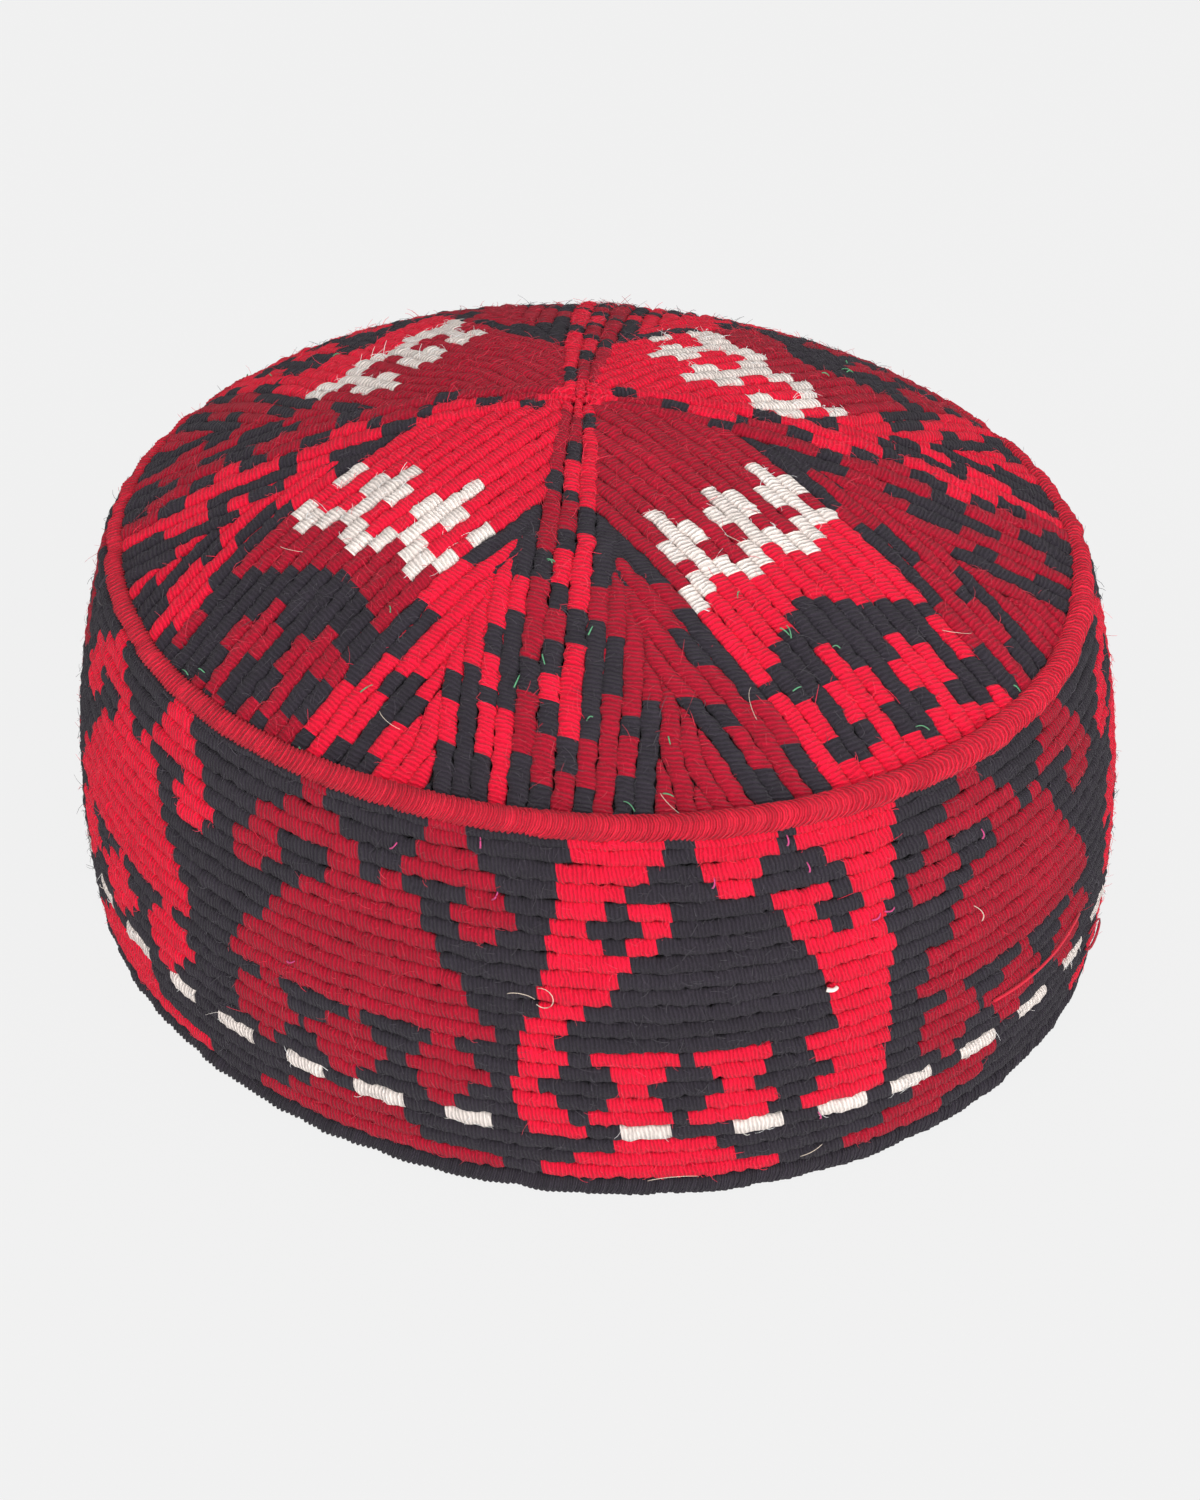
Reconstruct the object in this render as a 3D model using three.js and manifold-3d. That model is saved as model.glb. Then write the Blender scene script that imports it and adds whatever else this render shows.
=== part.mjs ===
// An embroidered folk cap with a stiff upright side and a low domed crown.
// Units are millimetres and +Z is up. The origin is the centre of the flat underside of the hem,
// and -Y is the front of the cap.
//
// Four pieces: the corded side band, the black binding round its lower edge, the overcast cord
// on the seam at its top, and the crown, whose wall carries three raised cords on each of its
// four axes. The cap is a little oval, and its crown leans to one side.
import * as THREE from 'three';
import { mergeVertices } from 'three/addons/utils/BufferGeometryUtils.js';
import Module from 'manifold-3d';

const wasm = await Module();
wasm.setup();

// Driving sizes of the cap
const rimRadius = 95.5; // mean outer radius of the side at the hem
const shoulderRadius = 87.7; // mean outer radius of the side under the seam cord
const sideBulge = 3.8; // how far the side swells out halfway up
const seamHeight = 75.6; // centre of the seam cord above the table
const crownRise = 31; // top of the crown above the seam cord's centre
const crownPower = 1.8; // 2 would be a round bowl and 1 a cone
const crownLean = -2.9; // sideways lean of the crown's tip
const crownTurn = THREE.MathUtils.degToRad(-2.5); // front axis of the crown, from -Y
const lobeHeight = 1.2; // how far the quarters between the axes puff up
const ovalShare = 0.044; // share by which the plan is longer and narrower than round
const ovalTurn = THREE.MathUtils.degToRad(-22); // long diameter, from +X

// Walls and trims
const sideWall = 2.6; // cloth and filling behind the cords of the side
const crownWall = 2.8; // cloth of the crown, measured upright
const ribRelief = 0.8; // depth of the grooves between the cords of the side
const ribCount = 21; // cords stacked up the side
const hemHeight = 3.1;
const hemProud = 0.5; // the binding stands out from the side by this much
const hemBevel = 0.8;
const seamCordRadius = 2.5;
const seamCordInset = 1.8; // centre of the seam cord, in from the shoulder
const axisCordRadius = 1.7;
const axisCordSpacing = 3.5;
const axisCordStart = 3.2; // where the cords start, out from the crown's tip
const axisNarrowRun = 38; // the outer cords reach their full spacing this far out
const clearance = 0.3; // between pieces that touch

// Fineness of the facets
const segments = 54; // round the cap, the same for all pieces so that their gaps stay even
const seamSides = 8;
const crownSteps = 10;
const innerSteps = 5;
const axisCordSteps = 12;
const axisCordSides = 6;

const axisCount = 4;
const axisCordsPerAxis = 3;
const frontAngle = -Math.PI / 2;
const seamRadius = shoulderRadius - seamCordInset;
const crownEdge = seamRadius - seamCordRadius - clearance;

const colours = {
  side: 0x9c1526,
  crown: 0xb8172a,
  seam: 0xc4202f,
  hem: 0x2a2930,
};

/** Factor of the oval plan in one direction. */
const oval = (angle) => 1 + ovalShare * Math.cos(2 * (angle - ovalTurn));

/** Point of the oval plan at a mean radius, an angle from +X and a height. */
function planPoint(radius, height, angle) {
  const reach = radius * oval(angle);
  return new THREE.Vector3(reach * Math.cos(angle), reach * Math.sin(angle), height);
}

/** Mean outer radius of the side at a share of the way from the table to the seam. */
function sideRadius(share) {
  const straight = rimRadius + (shoulderRadius - rimRadius) * share;
  return straight + sideBulge * 4 * share * (1 - share);
}

/** Height of the crown's upper face at a mean radius and an angle. */
function crownHeight(radius, angle) {
  const share = Math.min(1, radius / seamRadius);
  const puff = Math.sin((axisCount / 2) * (angle - frontAngle - crownTurn)) ** 2;
  const lobe = lobeHeight * puff * 4 * share * (1 - share);
  return seamHeight + crownRise * (1 - share ** crownPower) + lobe;
}

/** Point on the crown, moved down by depth and leaning more towards the tip. */
function crownPoint(radius, depth, angle) {
  const point = planPoint(radius, crownHeight(radius, angle) - depth, angle);
  point.x += crownLean * (1 - radius / seamRadius);
  return point;
}

/**
 * Closed solid from a closed outline carried round the cap.
 * Each outline entry is a function of the angle that returns a point, and the outline runs
 * counterclockwise when seen with +X outwards and +Z up.
 */
function carryRound(outline) {
  const positions = [];
  const faces = [];
  for (let turn = 0; turn < segments; turn += 1) {
    const angle = (turn / segments) * 2 * Math.PI;
    outline.forEach((place) => positions.push(...place(angle).toArray()));
  }
  const count = outline.length;
  for (let turn = 0; turn < segments; turn += 1) {
    const next = (turn + 1) % segments;
    for (let step = 0; step < count; step += 1) {
      const after = (step + 1) % count;
      const a = turn * count + step;
      const b = next * count + step;
      const c = next * count + after;
      const d = turn * count + after;
      faces.push(a, b, c, a, c, d);
    }
  }
  return indexedGeometry(positions, faces);
}

/** Geometry from plain position and index lists. */
function indexedGeometry(positions, faces) {
  const geometry = new THREE.BufferGeometry();
  geometry.setAttribute('position', new THREE.Float32BufferAttribute(positions, 3));
  geometry.setIndex(faces);
  geometry.computeVertexNormals();
  return geometry;
}

/** Manifold solid of a closed geometry. */
function toSolid(geometry) {
  const bare = geometry.clone();
  bare.deleteAttribute('normal');
  bare.deleteAttribute('uv');
  const merged = mergeVertices(bare, 1e-4);
  return new wasm.Manifold(new wasm.Mesh({
    numProp: 3,
    vertProperties: new Float32Array(merged.attributes.position.array),
    triVerts: new Uint32Array(merged.index.array),
  }));
}

/** Geometry of a manifold solid. */
function toGeometry(solid) {
  const mesh = solid.getMesh();
  return indexedGeometry(Array.from(mesh.vertProperties), Array.from(mesh.triVerts));
}

/** The upright side: a ring of cloth with a groove between each cord and the next. */
function buildSideBand() {
  const low = hemHeight + clearance;
  const high = seamHeight - seamCordRadius - clearance;
  const rib = (high - low) / ribCount;
  const outline = [];
  const addPoint = (height, depth) => {
    const radius = sideRadius(height / seamHeight) - depth;
    outline.push((angle) => planPoint(radius, height, angle));
  };
  addPoint(low, ribRelief);
  for (let row = 0; row < ribCount; row += 1) {
    addPoint(low + rib * (row + 0.5), 0);
    addPoint(low + rib * (row + 1), ribRelief);
  }
  for (let step = innerSteps; step >= 0; step -= 1) {
    addPoint(low + ((high - low) * step) / innerSteps, ribRelief + sideWall);
  }
  return carryRound(outline);
}

/** The binding round the lower edge, flat underneath so that the cap stands on it. */
function buildHemBinding() {
  const outer = rimRadius + hemProud;
  const inner = rimRadius - ribRelief - sideWall - hemProud;
  const corners = [
    [inner + hemBevel, 0],
    [outer - hemBevel, 0],
    [outer, hemBevel],
    [outer, hemHeight - hemBevel],
    [outer - hemBevel, hemHeight],
    [inner + hemBevel, hemHeight],
    [inner, hemHeight - hemBevel],
    [inner, hemBevel],
  ];
  return carryRound(
    corners.map(([radius, height]) => (angle) => planPoint(radius, height, angle)),
  );
}

/** The overcast cord on the seam between the side and the crown. */
function buildSeamCord() {
  const outline = [];
  for (let side = 0; side < seamSides; side += 1) {
    const turn = (side / seamSides) * 2 * Math.PI;
    const radius = seamRadius + seamCordRadius * Math.cos(turn);
    const height = seamHeight + seamCordRadius * Math.sin(turn);
    outline.push((angle) => planPoint(radius, height, angle));
  }
  return carryRound(outline);
}

/** The crown's plain domed wall, open underneath. */
function buildCrownWall() {
  const positions = [...crownPoint(0, 0, 0).toArray(), ...crownPoint(0, crownWall, 0).toArray()];
  const faces = [];
  const rings = [];
  const addRing = (radius, depth) => {
    const first = positions.length / 3;
    for (let turn = 0; turn < segments; turn += 1) {
      const angle = (turn / segments) * 2 * Math.PI;
      positions.push(...crownPoint(radius, depth, angle).toArray());
    }
    rings.push(first);
  };
  for (let step = 1; step <= crownSteps; step += 1) addRing((crownEdge * step) / crownSteps, 0);
  for (let step = innerSteps; step >= 1; step -= 1) {
    addRing((crownEdge * step) / innerSteps, crownWall);
  }
  const lastRing = rings[rings.length - 1];
  for (let turn = 0; turn < segments; turn += 1) {
    const next = (turn + 1) % segments;
    faces.push(0, rings[0] + turn, rings[0] + next);
    for (let ring = 0; ring < rings.length - 1; ring += 1) {
      const a = rings[ring] + turn;
      const b = rings[ring + 1] + turn;
      const c = rings[ring + 1] + next;
      const d = rings[ring] + next;
      faces.push(a, b, c, a, c, d);
    }
    faces.push(1, lastRing + next, lastRing + turn);
  }
  return indexedGeometry(positions, faces);
}

/** One raised cord that runs out over the crown, offset sideways from its axis. */
function buildAxisCord(axis, lane) {
  const direction = frontAngle + crownTurn + (axis * 2 * Math.PI) / axisCount;
  const last = crownEdge - axisCordRadius;
  const points = [];
  for (let step = 0; step <= axisCordSteps; step += 1) {
    const radius = axisCordStart + ((last - axisCordStart) * step) / axisCordSteps;
    const offset = lane * axisCordSpacing * Math.min(1, radius / axisNarrowRun);
    points.push(crownPoint(radius, 0, direction + offset / radius));
  }
  const section = new THREE.Shape();
  for (let side = 0; side < axisCordSides; side += 1) {
    const turn = (side / axisCordSides) * 2 * Math.PI;
    const x = axisCordRadius * Math.cos(turn);
    const y = axisCordRadius * Math.sin(turn);
    if (side === 0) section.moveTo(x, y);
    else section.lineTo(x, y);
  }
  section.closePath();
  return new THREE.ExtrudeGeometry(section, {
    steps: axisCordSteps,
    bevelEnabled: false,
    extrudePath: new THREE.CatmullRomCurve3(points),
  });
}

/** The crown: its wall joined with the cords along the four axes. */
function buildCrown() {
  let crown = toSolid(buildCrownWall());
  for (let axis = 0; axis < axisCount; axis += 1) {
    for (let place = 0; place < axisCordsPerAxis; place += 1) {
      const lane = place - (axisCordsPerAxis - 1) / 2;
      crown = crown.add(toSolid(buildAxisCord(axis, lane)));
    }
  }
  return toGeometry(crown);
}

/** Named mesh with its own cloth material. */
function piece(name, geometry, colour, roughness) {
  const material = new THREE.MeshStandardMaterial({ color: colour, roughness, metalness: 0 });
  const mesh = new THREE.Mesh(geometry, material);
  mesh.name = name;
  return mesh;
}

const cap = new THREE.Group();
cap.add(piece('side_band', buildSideBand(), colours.side, 0.9));
cap.add(piece('hem_binding', buildHemBinding(), colours.hem, 0.92));
cap.add(piece('seam_cord', buildSeamCord(), colours.seam, 0.88));
cap.add(piece('crown', buildCrown(), colours.crown, 0.9));

export default cap;
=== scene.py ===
"""Looks of an embroidered folk cap: wrapped cords on a stiff round side and a low domed crown.

Sizes are millimetres in the cap's own frame, and meshes are written in metres.
The front of the cap is -Y, and +Z is up.
"""
from __future__ import annotations

import logging
import math
from dataclasses import dataclass, field
from enum import Enum
from typing import Callable, Sequence

import bpy
import numpy as np
from mathutils import Matrix, Vector


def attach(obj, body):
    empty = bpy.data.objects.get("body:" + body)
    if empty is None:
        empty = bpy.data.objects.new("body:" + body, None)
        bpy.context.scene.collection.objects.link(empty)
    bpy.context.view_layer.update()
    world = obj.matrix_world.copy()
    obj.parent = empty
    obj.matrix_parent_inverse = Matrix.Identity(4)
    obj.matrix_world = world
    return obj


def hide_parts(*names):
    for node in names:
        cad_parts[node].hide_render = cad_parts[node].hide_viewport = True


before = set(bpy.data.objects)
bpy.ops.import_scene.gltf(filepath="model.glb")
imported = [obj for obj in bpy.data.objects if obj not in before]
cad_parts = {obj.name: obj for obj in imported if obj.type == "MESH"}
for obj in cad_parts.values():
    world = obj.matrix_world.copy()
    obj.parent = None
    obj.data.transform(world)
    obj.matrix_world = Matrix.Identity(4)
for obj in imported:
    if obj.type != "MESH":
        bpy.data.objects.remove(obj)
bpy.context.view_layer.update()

LOG = logging.getLogger("cap")
MM = 0.001
FULL_TURN = 2.0 * math.pi
FRONT = -math.pi / 2

# Seeds of the small unevenness, one for each maker
SEED = 20
SIDE_SEED = SEED + 1
CROWN_SEED = SEED + 2
SEAM_SEED = SEED + 3
HEM_SEED = SEED + 4
SIDE_FUZZ_SEED = SEED + 5
CROWN_FUZZ_SEED = SEED + 6
AXIS_SEED = SEED + 7


class Yarn(Enum):
    """Wool colours of the cap, by their letters in the charts."""

    BRIGHT_RED = "R"
    DARK_RED = "D"
    BLACK = "K"
    WHITE = "W"
    SEAM_RED = "S"
    GREEN = "G"
    PINK = "P"
    PALE = "H"


YARN_COLOURS: dict[Yarn, tuple[float, float, float]] = {
    Yarn.BRIGHT_RED: (0.740, 0.006, 0.034),
    Yarn.DARK_RED: (0.360, 0.005, 0.022),
    Yarn.BLACK: (0.028, 0.023, 0.031),
    Yarn.WHITE: (0.780, 0.690, 0.640),
    Yarn.SEAM_RED: (0.540, 0.013, 0.034),
    Yarn.GREEN: (0.090, 0.300, 0.150),
    Yarn.PINK: (0.480, 0.050, 0.180),
    Yarn.PALE: (0.620, 0.520, 0.420),
}

Runs = list[tuple[str, float]]


def parse_runs(text: str) -> Runs:
    """Read a chart row such as 'D35 W40 R'.

    Args:
        text: Letters with the place where each colour ends; the last has none.

    Returns:
        Pairs of a yarn letter and the place where it ends.
    """
    runs: Runs = []
    for word in text.split():
        end = float(word[1:]) if len(word) > 1 else math.inf
        runs.append((word[0], end))
    return runs


def smoothstep(low: float, high: float, value: np.ndarray | float) -> np.ndarray:
    """Smooth rise from 0 at low to 1 at high."""
    share = np.clip((np.asarray(value, dtype=float) - low) / (high - low), 0.0, 1.0)
    return share * share * (3.0 - 2.0 * share)


@dataclass(frozen=True)
class CapForm:
    """The shape that all pieces follow, with the same sizes as the solids (mm)."""

    rim_radius: float = 95.5
    shoulder_radius: float = 87.7
    side_bulge: float = 3.8
    seam_height: float = 75.6
    crown_rise: float = 31.0
    crown_power: float = 1.8
    crown_lean: float = -2.9
    crown_turn: float = math.radians(-2.5)
    lobe_height: float = 1.2
    oval_share: float = 0.044
    oval_turn: float = math.radians(-22.0)
    seam_inset: float = 1.8
    axis_count: int = 4
    back_dip: float = 2.3
    dip_span: tuple[float, float] = (-0.3, 0.6)  # share of the way back where the sag begins and is full
    front_rise: float = 1.1
    rise_span: tuple[float, float] = (0.5, 1.0)  # the same for the rise, towards the front

    def dip(self, angle: np.ndarray) -> np.ndarray:
        """How far the seam sags towards the back, less its small rise in front."""
        back = np.sin(angle)
        sag = self.back_dip * smoothstep(*self.dip_span, back)
        return sag - self.front_rise * smoothstep(*self.rise_span, -back)

    @property
    def seam_radius(self) -> float:
        """Mean radius of the seam cord's centre line."""
        return self.shoulder_radius - self.seam_inset

    def oval(self, angle: np.ndarray) -> np.ndarray:
        """Factor of the oval plan in a direction."""
        return 1.0 + self.oval_share * np.cos(2.0 * (angle - self.oval_turn))

    def plan(self, radius: np.ndarray, height: np.ndarray, angle: np.ndarray) -> np.ndarray:
        """Points of the oval plan.

        Args:
            radius: Mean radii.
            height: Heights above the table.
            angle: Angles from +X.

        Returns:
            Points, one a row.
        """
        reach = radius * self.oval(angle)
        level = np.broadcast_to(height, np.shape(reach))
        return np.stack([reach * np.cos(angle), reach * np.sin(angle), level], axis=-1)

    def side_radius(self, height: np.ndarray) -> np.ndarray:
        """Mean outer radius of the side at a height."""
        share = height / self.seam_height
        straight = self.rim_radius + (self.shoulder_radius - self.rim_radius) * share
        return straight + self.side_bulge * 4.0 * share * (1.0 - share)

    def side(self, height: np.ndarray, angle: np.ndarray, proud: float | np.ndarray = 0.0) -> np.ndarray:
        """Points on the side, standing proud of it by a distance."""
        return self.plan(self.side_radius(height) + proud, height, angle)

    def crown(self, radius: np.ndarray, angle: np.ndarray, lift: float | np.ndarray = 0.0) -> np.ndarray:
        """Points on the crown, lifted upright by a distance."""
        share = np.minimum(1.0, radius / self.seam_radius)
        puff = np.sin(self.axis_count / 2 * (angle - FRONT - self.crown_turn)) ** 2
        height = self.seam_height + self.crown_rise * (1.0 - share**self.crown_power)
        height = height + self.lobe_height * puff * 4.0 * share * (1.0 - share) + lift
        point = self.plan(radius, height, angle)
        point[..., 0] += self.crown_lean * (1.0 - radius / self.seam_radius)
        return point

    def crown_xy(self, across: np.ndarray, forward: np.ndarray) -> np.ndarray:
        """Points on the crown from plan coordinates before the oval is applied."""
        return self.crown(np.hypot(across, forward), np.arctan2(forward, across))


FORM = CapForm()


def unit(vectors: np.ndarray) -> np.ndarray:
    """Vectors at length 1."""
    shortest = 1e-9
    return vectors / np.maximum(np.linalg.norm(vectors, axis=-1, keepdims=True), shortest)


def near_angle(angles: np.ndarray, turn: float) -> np.ndarray:
    """Angles brought within half a turn of another."""
    return turn + (angles - turn + math.pi) % FULL_TURN - math.pi


def sideways_angle(aside: np.ndarray, radius: np.ndarray, limit: float) -> np.ndarray:
    """Angle at which something lies that far to the side, at distances from the centre."""
    return np.arcsin(np.clip(aside / radius, -limit, limit))


def edges_flip(first: np.ndarray, second: np.ndarray, up: np.ndarray) -> bool:
    """Whether two edges must change places so that the cord's skin faces outwards."""
    middle = len(first) // 2
    forward = first[middle + 1] - first[middle - 1]
    return float(np.dot(np.cross(forward, second[middle] - first[middle]), up[middle])) < 0.0


def table_at(table: Sequence[tuple[float, float]], places: np.ndarray | float) -> np.ndarray:
    """Values of a short table of places and values, at other places."""
    keys, values = zip(*table)
    return np.interp(places, keys, values)


@dataclass
class Strip:
    """One wrapped cord between two edges on a surface (mm).

    left and right are points along the two edges, up holds the surface's directions there, along
    the length from its start, and runs says where each colour ends along it. The cord stands
    crest above the edges and goes sink below them.
    """

    left: np.ndarray
    right: np.ndarray
    up: np.ndarray
    along: np.ndarray
    runs: Runs
    closed: bool = False
    crest: float = 0.75
    sink: float = 0.85


@dataclass
class MeshBag:
    """Gathers vertices, faces, colours and coordinates of many small shapes in one mesh."""

    points: list[np.ndarray] = field(default_factory=list)
    faces: list[np.ndarray] = field(default_factory=list)
    colours: list[np.ndarray] = field(default_factory=list)
    coordinates: list[np.ndarray] = field(default_factory=list)
    count: int = 0
    least_facing: float = 0.3  # faces turned further from the outside than this carry no fibres
    upright_share: float = 0.8  # how far the outside of the crown counts as straight up

    def add(self, points: np.ndarray, faces: np.ndarray, colours: np.ndarray, uv: np.ndarray) -> None:
        """Add one shape.

        Args:
            points: Vertices, one a row.
            faces: Corner numbers of four-sided faces, one face a row.
            colours: A colour for each face.
            uv: Coordinates for each face corner, shaped (faces, 4, 2).
        """
        self.points.append(points)
        self.faces.append(faces + self.count)
        self.colours.append(colours)
        self.coordinates.append(uv)
        self.count += len(points)

    def roots(self, random: np.random.Generator, count: int, lift: float) -> tuple[np.ndarray, ...]:
        """Places on the outer faces where loose fibres start.

        Args:
            random: Seeded draws.
            count: How many.
            lift: 0 where the outside faces sideways, and 1 where it faces up.

        Returns:
            Places, outward directions and colours.
        """
        points = np.concatenate(self.points)
        faces = np.concatenate(self.faces)
        colours = np.concatenate(self.colours)
        corners = points[faces]
        normals = unit(np.cross(corners[:, 2] - corners[:, 0], corners[:, 3] - corners[:, 1]))
        middles = corners.mean(axis=1)
        outward = unit(middles * np.array([1.0, 1.0, 0.0]))
        outward = unit(outward * (1.0 - self.upright_share * lift) + np.array([0.0, 0.0, lift]))
        seen = np.nonzero((normals * outward).sum(axis=1) > self.least_facing)[0]
        chosen = random.choice(seen, size=count)
        return middles[chosen], normals[chosen], colours[chosen]

    def build(self, name: str, material: bpy.types.Material) -> bpy.types.Object:
        """Make one object of all that was added.

        Args:
            name: Name of the object.
            material: Its finish.

        Returns:
            The object, linked to the scene.
        """
        points = np.concatenate(self.points) * MM
        faces = np.concatenate(self.faces)
        colours = np.concatenate(self.colours)
        uv = np.concatenate(self.coordinates)
        mesh = bpy.data.meshes.new(name)
        triangle = faces[:, 2] == faces[:, 3]
        sizes = np.where(triangle, 3, 4)
        keep = np.ones(faces.shape, dtype=bool)
        keep[triangle, 3] = False
        mesh.vertices.add(len(points))
        mesh.vertices.foreach_set("co", points.ravel())
        mesh.loops.add(int(sizes.sum()))
        mesh.loops.foreach_set("vertex_index", faces[keep].astype(np.int32))
        mesh.polygons.add(len(faces))
        starts = np.concatenate([[0], np.cumsum(sizes)[:-1]]).astype(np.int32)
        mesh.polygons.foreach_set("loop_start", starts)
        mesh.polygons.foreach_set("use_smooth", np.ones(len(faces), dtype=bool))
        layer = mesh.uv_layers.new(name="wrap")
        layer.data.foreach_set("uv", uv[keep].ravel().astype(np.float32))
        attribute = mesh.color_attributes.new(name="yarn", type="FLOAT_COLOR", domain="CORNER")
        shades = np.ones((len(faces), 4, 4), dtype=np.float32)
        shades[..., :3] = colours[:, None, :]
        attribute.data.foreach_set("color", shades[keep].ravel())
        mesh.update(calc_edges=True)
        mesh.validate()
        mesh.materials.append(material)
        made = bpy.data.objects.new(name, mesh)
        bpy.context.scene.collection.objects.link(made)
        return made


@dataclass
class CordMaker:
    """Turns strips into round wrapped cords with slanted wraps and small unevenness (mm)."""

    sides: int = 7
    step: float = 0.8
    fewest_steps: int = 4
    shortest: float = 2.0
    slant: float = 0.16
    end_length: float = 1.3
    end_width: float = 0.25  # share of the width that is left at an end
    overlap: float = 1.07
    side_power: float = 0.78  # below 1 the section is fuller than an oval
    top_power: float = 0.72
    full_half: float = 1.35  # cords with a smaller half width are lower too
    slimmest: float = 0.25

    # Unevenness
    wiggle: float = 0.15
    swell: float = 0.06
    crest_swell: float = 0.22
    waves: tuple[int, ...] = (4, 9, 19, 31)
    wave_run: float = 90.0  # length in which those waves fit
    wave_total: float = 2.4
    jitter: float = 0.38
    lump: float = 0.075
    lump_aside: float = 0.7
    lump_rise: float = 2.2
    neck_depth: float = 0.10
    neck_length: float = 0.5
    shade_spread: float = 0.07
    seed: int = SEED

    def __post_init__(self) -> None:
        """Start the seeded draws."""
        self.random = np.random.default_rng(self.seed)

    def wander(self, length: float, places: np.ndarray, reach: float) -> np.ndarray:
        """Slow uneven change along a cord.

        Args:
            length: Length of the cord.
            places: Places along it.
            reach: Largest change.

        Returns:
            The change at each place, the same at both ends of a full turn.
        """
        total = np.zeros_like(places)
        for waves in self.waves:
            count = max(1, round(waves * length / self.wave_run))
            phase = self.random.uniform(0.0, FULL_TURN)
            total += np.sin(FULL_TURN * count * places / length + phase)
        return total * reach / self.wave_total

    def resample(self, strip: Strip) -> tuple[np.ndarray, list[np.ndarray]]:
        """Even steps along a strip, with one step on each change of colour.

        Args:
            strip: The cord's edges.

        Returns:
            The places along the cord, and the left, right and up arrays there.
        """
        start, end = float(strip.along[0]), float(strip.along[-1])
        count = max(self.fewest_steps, int(round((end - start) / self.step)))
        places = np.linspace(start, end, count + 1)
        ragged = self.random.normal(0.0, self.jitter, len(strip.runs))
        strip.runs = [(letter, stop + shift) for (letter, stop), shift in zip(strip.runs, ragged)]
        for _, stop in strip.runs[:-1]:
            if start + self.step < stop < end - self.step:
                places[int(np.argmin(np.abs(places - stop)))] = stop
        arrays = []
        for source in (strip.left, strip.right, strip.up):
            columns = [np.interp(places, strip.along, source[:, k]) for k in range(3)]
            arrays.append(np.stack(columns, axis=1))
        return places, arrays

    def add(self, bag: MeshBag, strip: Strip) -> None:
        """Add one cord to a mesh.

        Args:
            bag: The mesh to add to.
            strip: The cord's edges and colours.
        """
        places, (left, right, up) = self.resample(strip)
        length = float(places[-1] - places[0])
        if length < self.shortest:
            return
        up = unit(up)
        centre = (left + right) / 2.0
        across = (right - left) / 2.0
        half = np.linalg.norm(across, axis=1)
        across = unit(across)
        if strip.closed:
            forward = unit(np.roll(centre, -1, axis=0) - np.roll(centre, 1, axis=0))
        else:
            forward = unit(np.gradient(centre, axis=0))
        run = places - places[0]
        centre = centre + across * self.wander(length, run, self.wiggle)[:, None]
        swell = 1.0 + self.wander(length, run, self.swell)
        rise = strip.crest * (1.0 + self.wander(length, run, self.crest_swell))
        lumps = self.random.normal(size=(3, len(places)))
        if strip.closed:
            lumps[:, -1] = lumps[:, 0]
        centre = centre + across * (self.lump * self.lump_aside * lumps[0])[:, None]
        swell = swell + self.lump * lumps[1]
        rise = rise * (1.0 + self.lump_rise * self.lump * lumps[2])
        colours, neck = self.colour(places, strip.runs)
        body = np.ones_like(places) if strip.closed else self.round_ends(run, length)
        slim = np.clip(half / self.full_half, self.slimmest, 1.0)
        half = half * swell * (self.end_width + (1.0 - self.end_width) * body) * self.overlap
        thick = (rise * slim + strip.sink) * neck
        turns = np.linspace(0.0, math.pi, self.sides)
        side_shape = np.sign(np.cos(turns)) * np.abs(np.cos(turns)) ** self.side_power
        top_shape = np.sin(turns) ** self.top_power
        rows = []
        for side, top in zip(side_shape, top_shape):
            point = centre + across * (half * side)[:, None]
            point = point + up * (-strip.sink + thick * top * body)[:, None]
            point = point + forward * (self.slant * half * side)[:, None]
            rows.append(point)
        self.skin(bag, np.stack(rows, axis=1), places, colours, strip.closed)

    def round_ends(self, run: np.ndarray, length: float) -> np.ndarray:
        """Share of the full thickness along an open cord, which rounds off at its ends.

        Args:
            run: Distances from the cord's start.
            length: Length of the cord.

        Returns:
            The share at each distance.
        """
        thinnest = 0.004
        near = np.clip(np.minimum(run, length - run) / self.end_length, 0.0, 1.0)
        return np.sqrt(np.clip(1.0 - (1.0 - near) ** 2, thinnest, 1.0))

    def colour(self, places: np.ndarray, runs: Runs) -> tuple[np.ndarray, np.ndarray]:
        """Colours of the steps, and the slight neck where one yarn gives way to the next.

        Args:
            places: Places along the cord.
            runs: Colours with the places where they end.

        Returns:
            A colour for each step, and a factor on the thickness at each place.
        """
        middles = (places[:-1] + places[1:]) / 2.0
        colours = np.zeros((len(middles), 3))
        neck = np.ones_like(places)
        begin = -math.inf
        for letter, stop in runs:
            tint = 1.0 + self.random.uniform(-self.shade_spread, self.shade_spread)
            inside = (middles >= begin) & (middles < stop)
            colours[inside] = np.array(YARN_COLOURS[Yarn(letter)]) * tint
            if math.isfinite(stop):
                neck -= self.neck_depth * np.exp(-(((places - stop) / self.neck_length) ** 2))
            begin = stop
        return colours, neck

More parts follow.
